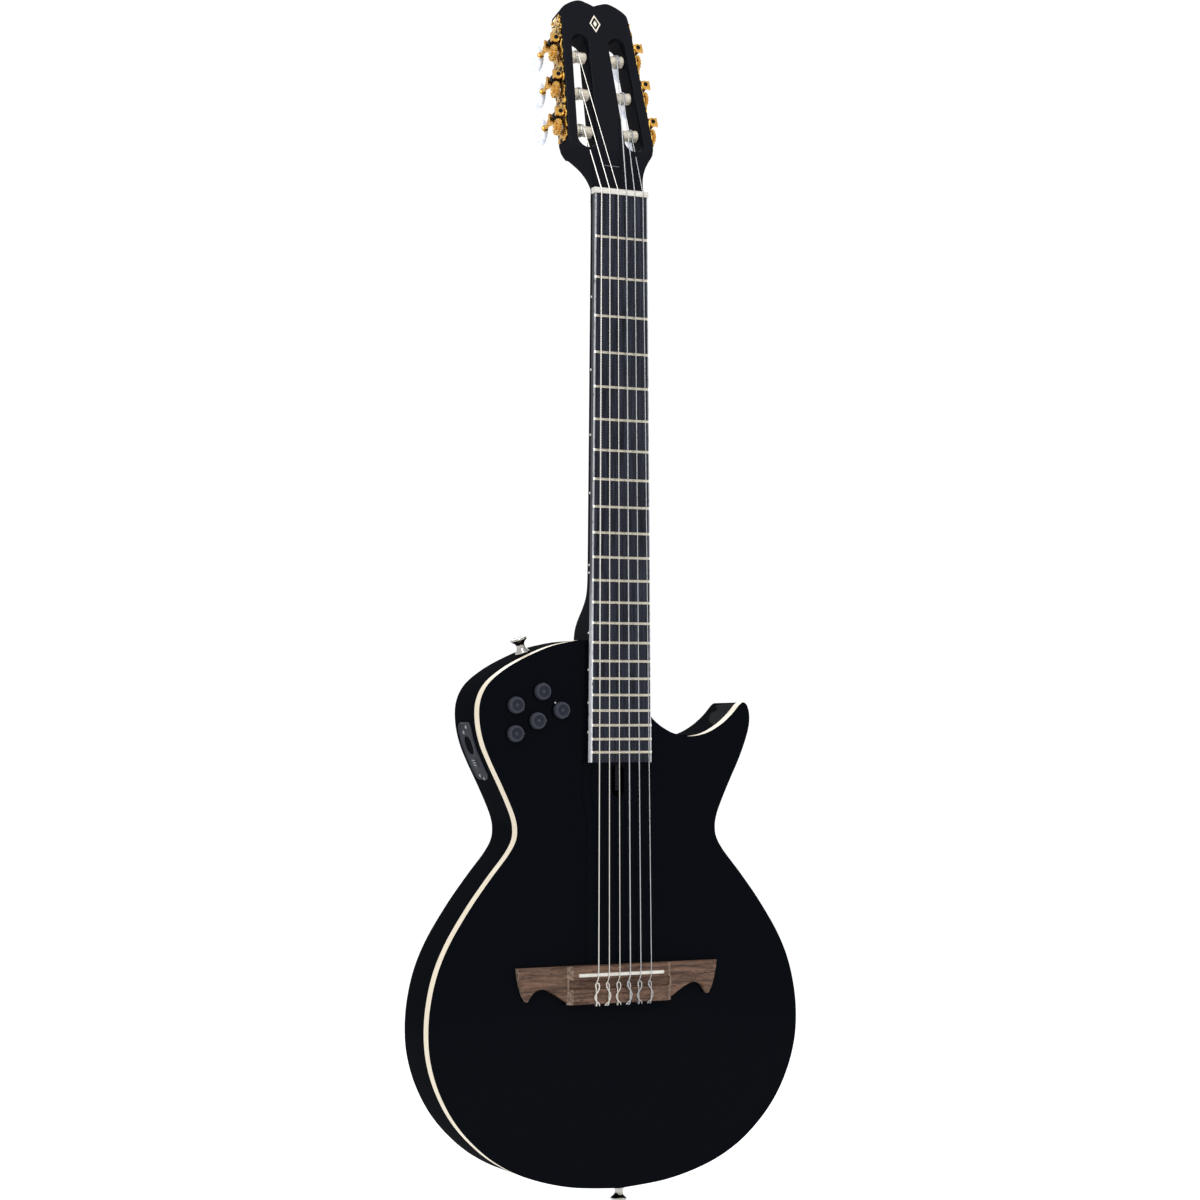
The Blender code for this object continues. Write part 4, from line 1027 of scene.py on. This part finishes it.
stringSizes = {
    "radii": (0.55, 0.45, 0.38, 0.51, 0.41, 0.36),
    "nutSpan": 39.1,
    "saddleSpan": 48.8,
    "saddleShift": -0.6,
    "heightAtSaddle": -12.9,
    "overBoardAtNut": 0.7,
}
bridgeSizes = {
    "shift": -2.2, "half": 92.3, "block": 43.0, "top": 7.4, "bottom": -24.0, "wing": 5.0,
    "thick": 9.6, "saddleHalf": 39.2
}


def nutPoint(number):
    y = boardFace(scaleLength) - stringSizes["overBoardAtNut"] - stringSizes["radii"][number]
    return Vector(((number / 5 - 0.5) * stringSizes["nutSpan"], y, zAt(scaleLength)))


def saddlePoint(number):
    x = stringSizes["saddleShift"] + (number / 5 - 0.5) * stringSizes["saddleSpan"]
    return Vector((x, stringSizes["heightAtSaddle"], zAt(0)))


def makeNut():
    top = boardFace(scaleLength) - 1.6
    seat = boardBack(scaleLength)
    edge = [(-25.2, seat), (-25.2, top + 1.6), (-24.9, top + 0.7), (-24.2, top)]
    for number in range(6):
        middle = nutPoint(number)
        half = stringSizes["radii"][number] + 0.12
        edge += [(middle.x - half, top), (middle.x - half, middle.y + half * 0.4)]
        edge += [(middle.x - half * 0.6, middle.y + half), (middle.x + half * 0.6, middle.y + half)]
        edge += [(middle.x + half, middle.y + half * 0.4), (middle.x + half, top)]
    edge += [(24.2, top), (24.9, top + 0.7), (25.2, top + 1.6), (25.2, seat)]
    loops = [
        [(x, max(y, top + drop), zAt(s)) for x, y in edge] for s,
        drop in ((650, 0.3), (650.4, 0), (653.2, 0.05), (654.4, 0.6), (655, 1.5))
    ]
    fit(skin("nutBone", loops, bone, smoothUnder=30), "guitar", "bone", "nut")


def bridgeOutline():
    half = [
        (bridgeSizes["half"], bridgeSizes["top"]), (91.4, 0.5), (89.6, -8.0), (87.3, -14.8),
        (84.4, -20.0)
    ]
    arch = [
        tuple(p)
        for p in catmull(
            ((83.2, -20.2), (77.5, -12.8), (69.5, -10.4), (60.5, -13.8), (48.5, -21.5)), 8
        )
    ]
    right = half + arch + [(45.5, -23.2), (bridgeSizes["block"], bridgeSizes["bottom"])]
    line = right[::-1] + [(-x, z) for x, z in right]
    return counterClockwise([Vector((bridgeSizes["shift"] + x, zAt(z))) for x, z in line])


def showEndGrain(piece):  # faces sawn across the grain, which runs along the bridge
    piece.data.materials.append(walnutEnd)
    for face in piece.data.polygons:
        if abs(face.normal.x) > 0.55 and abs(face.normal.z) < 0.6:
            face.material_index = 1


def makeBridge():
    wings = plate(
        "bridgeWings", bridgeOutline(), edgeProfile(-bridgeSizes["wing"], -0.05, 0.8, 0.0), walnut
    )
    fit(wings, "guitar", "brown_bridge_wood", "bridge")
    showEndGrain(wings)
    left = bridgeSizes["shift"] - bridgeSizes["block"]
    right = bridgeSizes["shift"] + bridgeSizes["block"]
    deep = bridgeSizes["thick"]
    bars = {"saddleBlock": (-3.9, 7.3, deep), "tieBlock": (-23.9, -11.6, deep - 0.2)}
    for name, (low, high, tall) in bars.items():  # shoulders slope down onto the wings
        loops = []
        for z, ease in (
            (low, 1.0), (low + 0.5, 0.3), (low + 1.2, 0), (high - 1.2, 0), (high - 0.5, 0.3),
            (high, 1.0)
        ):
            top = -tall + ease
            line = [
                (left - 5.2, -4.6), (left - 4.8, -5.2), (left - 0.8, top + 0.25), (left + 0.6, top)
            ]
            line += [
                (right - 0.6, top), (right + 0.8, top + 0.25), (right + 4.8, -5.2),
                (right + 5.2, -4.6)
            ]
            loops.append([(x, y, zAt(z)) for x, y in line])
        showEndGrain(fit(skin(name, loops, walnut, smoothUnder=30), "guitar", "brown_bridge_wood"))
    # the cheeks that close the tie trough
    for side, x in (("bass", left - 4.2), ("treble", right + 4.2)):
        loops = [
            [
                (x - 1.0, -5.0, zAt(z)), (x - 0.7, -6.4, zAt(z)), (x + 0.7, -6.4, zAt(z)),
                (x + 1.0, -5.0, zAt(z))
            ]
            for z in (-12.5, -3.0)
        ]
        fit(skin(side + "TroughCheek", loops, walnutEnd), "guitar", "brown_bridge_wood")
    for number in range(6):  # painted shade: dark discs in the mouths of the tie holes, on both sides of the tie block
        for k, (z, turn) in enumerate(((-11.55, 1), (-23.95, -1))):
            place = axes((saddlePoint(number).x, -6.9, zAt(z)), (turn, 0, 0), (0, 1, 0))
            mouth = turned(
                f"tieHoleMouth{number + 1}x{k}", [(1.15, -0.4), (1.15, 0.03), (0.9, 0.04)], 14,
                boreShade, place
            )
            fit(mouth, "guitar", "black_plastic")


def makeSaddle():
    half, shift = bridgeSizes["saddleHalf"], bridgeSizes["shift"]
    top = stringSizes["heightAtSaddle"] + 0.62
    loops = []
    for z, ease in ((-1.4, 1.0), (-1.1, 0.4), (-0.5, 0.05), (0.5, 0.05), (1.1, 0.4), (1.4, 1.0)):
        line = [
            (-half, -6), (-half, top + 1.6 + ease), (-half + 0.7, top + 0.6 + ease),
            (-half + 3, top + ease)
        ]
        line += [
            (half - 3, top + ease), (half - 0.7, top + 0.6 + ease), (half, top + 1.6 + ease),
            (half, -6)
        ]
        loops.append([(shift + x, y, zAt(z)) for x, y in line])
    fit(skin("saddleBone", loops, bone, smoothUnder=40), "guitar", "bone", "saddle")


makeNut()
makeBridge()
makeSaddle()

print("stage: tuning machines")

machineSizes = {
    "places": (58.8, 94.3, 129.8),
    "deep": 10.0,
    "gearOut": 5.4,
    "gearRadius": 7.4,
    "gearHalf": 1.5,
    "teeth": 14,
    "wormRadius": 3.55,
    "wormAbove": 11.05,
    "threadPitch": 3.3,
    "buttonDeep": 41.5,
    "plateHalfWide": 9.4,
}
sideNames = {"bass": -1, "treble": 1}


def machinePlace(side, place):  # X up the headstock's side, Y to its back, Z out of it
    slope = math.atan(headSizes["taper"])
    half = headSizes["halfAtStart"] - headSizes["taper"] * place
    along = Vector((-side * math.sin(slope), 0, math.cos(slope)))
    out = Vector((side * math.cos(slope), 0, math.sin(slope)))
    turn = Matrix((along, Vector((0, 1, 0)), out)).transposed().to_4x4()
    return headPlace @ Matrix.Translation((side * half, 0, place)) @ turn


def wormPlace(side, place):
    across = Matrix.Translation((machineSizes["wormAbove"], 0, machineSizes["gearOut"]))
    return machinePlace(side, place) @ across @ Matrix.Rotation(-math.pi / 2, 4, "X")


def rollerPlace(side, place):
    return machinePlace(side, place) @ Matrix.Translation((0, machineSizes["deep"], 0))


def makeMachinePlate(sideName, side):
    middle = machineSizes["places"][1]
    flat = machinePlace(side, middle) @ Matrix(
        ((0, 0, 1, 0), (1, 0, 0, machineSizes["deep"]), (0, -1, 0, 0), (0, 0, 0, 1))
    )
    # X to the back, -Y out, Z up the side; the long edges are cut in shallow scallops
    shape = []
    half, wide = 59.5, machineSizes["plateHalfWide"]
    for edge in (1, -1):
        for k in range(49):
            up = half - 2 * half * k / 48
            bow = wide - 0.9 + 0.9 * math.cos(math.tau * up / 11.9)
            ends = min(1.0, math.sqrt(max(0.0, 1 - (abs(up) / half) ** 12)) + 0.45)
            shape.append(Vector((edge * bow * ends, edge * up)))
    line = counterClockwise([Vector((p.x, p.y + 10.7)) for p in shape])
    base = plate(
        f"machinePlate{sideName.title()}", line, edgeProfile(-1.5, -0.2, 0.35, 0.0, 2), engraved,
        flat
    )
    fit(base, "guitar", "gold_plated_brass", f"tuner_plate_{sideName}")
    for number, place in enumerate(machineSizes["places"], 1):
        worm = wormPlace(side, place)
        for end, along in (("Front", 1.7), ("Back", 14.8)):
            loops = []
            for step, swell in (
                (0, 0.72), (0.5, 0.9), (1.2, 1.0), (2.2, 1.0), (2.9, 0.9), (3.4, 0.72)
            ):
                radius = 4.3 * swell
                ring = [(-radius * 1.05, -4.2), (-radius * 0.86, -2.4)]
                ring += [
                    (radius * math.cos(t), radius * math.sin(t))
                    for t in [math.pi * (1.08 - 1.16 * k / 14) for k in range(15)]
                ]
                ring += [(radius * 0.86, -2.4), (radius * 1.05, -4.2)]
                loops.append([(x, y, along + step) for x, y in ring])
            lug = skin(f"wormLug{sideName.title()}{number}{end}", loops, gold, worm, smoothUnder=50)
            fit(lug, "guitar", "gold_plated_brass")
    for k, up in enumerate((-46.6, -13.5, 22.0, 68.5), 1):
        for j, across in enumerate((-6.6, 6.6)):
            place = flat @ Matrix.Translation(
                (across, -1.45, up)
            ) @ Matrix.Rotation(math.pi / 2, 4, "X")
            screwHead(
                f"plateScrew{sideName.title()}{k}x{j}", place, 1.5, gold, "guitar",
                "gold_plated_brass"
            )


def makeRoller(label, body, side, place):
    spot = rollerPlace(side, place)
    half = headSizes["halfAtStart"] - headSizes["taper"] * place
    outerEdge, innerEdge = slotEdges(place)
    outer, inner = half - outerEdge + 0.6, half - innerEdge - 0.6
    profile = [
        (2.8, -inner - 3.6), (2.8, -inner), (4.6, -inner), (5.0, -inner + 0.5), (5.0, -inner + 1.6),
        (4.8, -inner + 2.1)
    ]
    profile += [
        (4.8, -outer - 2.1), (5.0, -outer - 1.6), (5.0, -outer - 0.5), (4.6, -outer), (2.8, -outer),
        (2.8, 3.5)
    ]
    piece = turned("stringRoller" + label, profile, 28, rollerBone, spot)
    fit(piece, body, "bone", "roller_" + body.split("_", 1)[1])
    hub = [(1.8, 3.0), (1.8, 6.9), (2.9, 6.9), (2.9, 7.6), (2.5, 8.0), (1.0, 8.2)]
    fit(turned("gearScrew" + label, hub, 20, gold, spot), body, "gold_plated_brass")


def makeGear(label, body, side, place):
    spot = rollerPlace(side, place)
    teeth = machineSizes["teeth"]
    radius, mid, thick = machineSizes[
        "gearRadius"
    ], machineSizes["gearOut"], machineSizes["gearHalf"]
    loops = []
    for inset, along in (
        (0.5, -thick), (0, -thick + 0.4), (0.35, 0), (0, thick - 0.4), (0.5, thick)
    ):
        ring = []
        for k in range(teeth * 6):
            swell = (1.0, 1.0, 0.45, 0.0, 0.0, 0.45)[k % 6]
            t = math.tau * (k + 2) / (teeth * 6)
            r = radius - inset - 1.3 * (1 - swell)
            ring.append((r * math.cos(t), r * math.sin(t), mid + along))
        loops.append(ring)
    for r, along in (
        (5.2, thick), (5.0, thick - 0.35), (3.2, thick - 0.35), (3.1, thick), (2.0, thick),
        (2.0, -thick)
    ):
        loops.append(
            [
                (
                    r * math.cos(math.tau * (k + 2) / (teeth * 6)),
                    r * math.sin(math.tau * (k + 2) / (teeth * 6)), mid + along
                )
                for k in range(teeth * 6)
            ]
        )
    piece = skin("rollerGear" + label, loops, gold, spot, closed=True)
    fit(piece, body, "gold_plated_brass", "gear_" + body.split("_", 1)[1])


def makeWorm(label, body, side, place):
    spot = wormPlace(side, place)
    work = bmesh.new()
    core = [(1.9, 1.2), (1.9, 5.2), (2.5, 5.4), (2.5, 14.5), (1.9, 14.7), (1.9, 18.7)]
    addSkin(work, ringLoops(core, 20))
    pitch, top = machineSizes["threadPitch"], machineSizes["wormRadius"]
    rows = []
    count = int(8.6 / pitch * 20)
    for k in range(count + 1):
        t = math.tau * k / 20 * -side  # right-handed on both sides
        along = 5.7 + pitch * k / 20
        fade = min(1.0, k / 6, (count - k) / 6)
        rise = 2.3 + (top - 2.3) * fade
        cross = [(2.3, -0.95), (rise, -0.4), (rise, 0.4), (2.3, 0.95)]
        rows.append([(r * math.cos(t), r * math.sin(t), along + up) for r, up in cross])
    addSkin(work, rows)
    fit(
        finishMesh("wormThread" + label, work, blackSteel, spot), body, "black_plated_steel",
        "worm_" + body.split("_", 1)[1]
    )
    deep = machineSizes["buttonDeep"]
    shaft = [
        (1.9, 18.4), (3.9, 18.5), (4.1, 19.3), (3.9, 20.4), (3.0, 21.2), (3.4, 22.2), (3.3, 23.4),
        (2.3, 24.8), (1.9, 27.0), (1.9, 33.0), (2.8, 33.4), (3.2, 34.6), (2.7, 35.8), (1.6, 36.0),
        (1.6, deep + 3)
    ]
    fit(turned("keyShaft" + label, shaft, 24, gold, spot), body, "gold_plated_brass")


def makeButton(label, body, side, place):
    # an oval paddle, pinched where it meets the shaft and fuller at its outer edge
    spot = wormPlace(side, place)
    deep = machineSizes["buttonDeep"]
    loops = []
    for k in range(15):
        t = math.pi * k / 14
        swell = max(0.06, math.sin(t)) ** 0.55
        wide, thick = 12.6 * swell, 4.2 * (0.30 + 0.70 * swell)
        if k in (0, 14):
            wide, thick = wide * 0.8, thick * 0.55
        along = deep - 7.2 * math.cos(t)
        ring = [math.tau * j / 32 for j in range(32)]
        loops.append(
            [
                (wide * math.cos(a), thick * math.sin(a) * (1 - 0.18 * math.cos(a) ** 4), along)
                for a in ring
            ]
        )
    fit(
        skin("keyButton" + label, loops, pearl, spot, smoothUnder=60), body, "pearl_plastic",
        "button_" + body.split("_", 1)[1]
    )


for sideName, side in sideNames.items():
    makeMachinePlate(sideName, side)
    for number, place in enumerate(machineSizes["places"], 1):
        label = f"{sideName.title()}{number}"
        makeRoller(label, f"roller_{sideName}_{number}", side, place)
        makeGear(label, f"roller_{sideName}_{number}", side, place)
        makeWorm(label, f"key_{sideName}_{number}", side, place)
        makeButton(label, f"key_{sideName}_{number}", side, place)

print("stage: strings")


def windingPoints(number):
    side = -1 if number < 3 else 1
    order = number if number < 3 else 5 - number
    inward = (16.8, 17.2, 16.4)[order]
    spot = rollerPlace(side, machineSizes["places"][order])
    radius = stringSizes["radii"][number]
    reach, pitch = 5.0 + 0.05 + radius, 2 * radius + 0.12
    points = []
    for k in range(int(2.6 * 24) + 1):
        t = math.tau * k / 24 + math.radians(-12)
        points.append(
            spot @ Vector((reach * math.sin(t), -reach * math.cos(t), -inward + pitch * k / 24))
        )
    return points


def makeString(number):
    radius = stringSizes["radii"][number]
    x = saddlePoint(number).x
    nut, saddle = nutPoint(number), saddlePoint(number)
    hole = [(x, -6.9, -23.6), (x, -6.9, -11.2), (x, -7.4, -9.2), (x, -11.4, -3.8)]
    path = [Vector((a, b, zAt(c))) for a, b, c in hole]
    path += [saddle + Vector((0, 0.25, -1.3)), saddle, saddle + Vector((0, 0, 1.5))]
    path += [nut + Vector((0, 0.02, -1)), nut, nut + Vector((0, 0.1, 3.6))]
    path += windingPoints(number)
    finish = silverString if number < 3 else nylonString
    slotName = "silvered_winding" if number < 3 else "clear_nylon"
    fit(
        tube(f"string{6 - number}", path, radius, finish), "guitar", slotName,
        f"string_{6 - number}"
    )
    # the tie: out below the block, up over it, round the string, and back with its tail tucked
    lean = 1 if number % 2 else -1
    knots = [
        (0, -6.9, -23.0), (0, -7.0, -24.8), (0.2, -8.6, -25.4), (0.5, -10.2, -24.6),
        (0.8, -10.5, -22), (1.0, -10.5, -15)
    ]
    knots += [
        (1.0, -10.6, -11.4), (1.3, -9.9, -8.6), (0.2, -9.3, -6.8), (-1.3, -10.4, -7.2),
        (-1.5, -11.3, -9.6)
    ]
    knots += [
        (-0.4, -11.8, -12.6), (1.4, -11.7, -15.2), (2.3, -10.8, -17.6), (1.7, -10.5, -20.2),
        (0.5, -11.3, -22.0), (-1.2, -11.0, -23.4), (-2.4, -9.6, -25.2)
    ]
    bend = [Vector((x + lean * a, b, zAt(c))) for a, b, c in knots]
    fit(
        tube(
            f"stringTie{6 - number}", catmull(bend, 5), radius, bone if number < 3 else nylonString
        ),
        "guitar", slotName
    )


for number in range(6):
    makeString(number)

print("stage: control knobs")

knobSizes = {
    "places": ((-70.0, 232.5), (-94.0, 221.3), (-52.8, 217.2), (-74.6, 208.5), (-94.6, 198.0)),
    "radius": 7.0,
    "tall": 5.4,
    "pointAt": (90, -35, -90, 0, 0),
}


def makeKnob(number, x, z, pointAt):
    radius = knobSizes["radius"]
    place = axes((x, 0, zAt(z)), (1, 0, 0), (0, 0, 1))
    tall = knobSizes["tall"]
    profile = [
        (3.2, tall - 1.6), (3.2, 0.6), (radius - 0.2, 0.6), (radius, 0.9), (radius, 1.8),
        (radius - 0.2, tall - 1.4)
    ]
    profile += [
        (radius - 0.5, tall - 0.7), (radius - 1.0, tall - 0.2), (radius - 1.6, tall),
        (radius - 2.1, tall - 0.05)
    ]
    profile += [(radius - 2.8, tall - 0.5), (3.2, tall - 0.9), (0.6, tall - 1.1)]
    body = f"knob_{number}"
    cap = fit(
        turned(f"controlKnob{number}", profile, 48, softPlastic, place), body,
        "grey_rubbery_plastic", body
    )
    cap.data.materials.append(knobDishPaintedShade)
    for face in cap.data.polygons:  # painted shade: the dished middle gets a darker plastic than the rim
        middle = face.center / mm - Vector((x, 0, zAt(z)))
        if math.hypot(middle.x, middle.z) < radius - 2.3 and middle.y < -2.5:
            face.material_index = 1
    fit(
        turned(
            f"knobCentre{number}", [(1.5, tall - 1.4), (1.5, tall - 0.75), (1.2, tall - 0.6)], 20,
            softPlastic, place
        ),
        body, "grey_rubbery_plastic"
    )
    turn = place @ Matrix.Rotation(math.radians(pointAt), 4, "Z")
    nub = []
    for up, shrink in (
        (1.4, 0.85), (1.9, 1.0), (tall - 1.3, 1.0), (tall - 0.6, 0.8), (tall - 0.35, 0.45)
    ):
        nub.append(
            [
                (radius - 0.35 + 0.75 * shrink * math.cos(t), 1.1 * shrink * math.sin(t), up)
                for t in [math.tau * k / 12 for k in range(12)]
            ]
        )
    fit(skin(f"knobPointer{number}", nub, softPlastic, turn), body, "grey_rubbery_plastic")


for number, ((x, z), pointAt) in enumerate(zip(knobSizes["places"], knobSizes["pointAt"]), 1):
    makeKnob(number, x, z, pointAt)
place = axes((-57.6, 0, zAt(223.4)), (1, 0, 0), (0, 0, 1))
fit(
    turned("centreMark", [(0.7, -0.3), (0.7, 0.06), (0.4, 0.12)], 14, bone, place), "guitar", "bone"
)

print("stage: inner pieces")

innerFinishes = {
    "preamp_board": laminate, "battery": blackPlastic, "piezo_strip": copper,
    "truss_rod": blackSteel
}
for node, finish in innerFinishes.items():
    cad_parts[node].data.materials.clear()
    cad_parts[node].data.materials.append(finish)

print("stage: studio")

studio = {
    "floorDrop": 0.22, "floorHalf": 14.0, "world": 1.05, "key": 42.0, "fill": 10.0, "rim": 30.0
}


def makeStage():
    low = cadBounds[0][2] - studio["floorDrop"]
    work = bmesh.new()
    half = studio["floorHalf"] / mm
    work.faces.new(
        [
            work.verts.new(p)
            for p in (
                (-half, -half, low / mm), (half, -half, low / mm), (half, half, low / mm),
                (-half, half, low / mm)
            )
        ]
    )
    # matt seamless paper
    paper, shader, place = startFinish("palePaperFloor", Roughness=0.9, IOR=1.3)
    mottle = addNode(paper, "TexNoise", {"Scale": 0.8, "Detail": 2}, {"Vector": place})
    feed(
        paper, shader,
        Base_Color=mixColours(paper, mottle.outputs[0], srgb("FDFDFD"), srgb("FFFFFF"))
    )
    finishMesh("studioFloor", work, paper)


def addLight(name, place, aim, size, power, colour="FFFFFF"):
    light = bpy.data.lights.new(name, "AREA")
    light.shape, light.size, light.energy = "DISK", size, power
    light.color = srgb(colour)[:3]
    lamp = bpy.data.objects.new(name, light)
    lamp.location = place
    lamp.rotation_euler = (Vector(aim) - Vector(place)).to_track_quat("-Z", "Y").to_euler()
    bpy.context.scene.collection.objects.link(lamp)


def makeLights():
    world = bpy.data.worlds.new("softRoom")
    world.use_nodes = True
    world.node_tree.nodes["Background"].inputs[0].default_value = (1, 1, 1, 1)
    world.node_tree.nodes["Background"].inputs[1].default_value = studio["world"]
    bpy.context.scene.world = world
    middle = (0, 0, -0.35)
    addLight("keySoftbox", (-1.2, -2.2, 2.0), middle, 1.6, studio["key"])
    addLight("fillSoftbox", (2.4, -1.6, 0.6), middle, 1.4, studio["fill"])
    addLight("backSoftbox", (0.4, 2.6, 1.6), middle, 1.6, studio["rim"])
    bpy.context.scene.view_settings.view_transform = "Standard"


def makeCamera():
    right, down, ahead = Vector(
        (0.89698, -0.44205, -0.0036)
    ), Vector((0.02524, 0.05934, -0.99792)), Vector((0.44135, 0.89502, 0.06438))
    lens = bpy.data.cameras.new("portraitLens")
    lens.sensor_width, lens.lens = 36.0, 76.64
    lens.shift_x, lens.shift_y = 0.0023, -0.0225
    camera = bpy.data.objects.new("studioCamera", lens)
    turn = Matrix((right, -down, -ahead)).transposed().to_4x4()
    camera.matrix_world = Matrix.Translation((-0.95933, -1.90769, -0.47766)) @ turn
    bpy.context.scene.collection.objects.link(camera)
    bpy.context.scene.camera = camera


makeStage()
makeLights()
makeCamera()
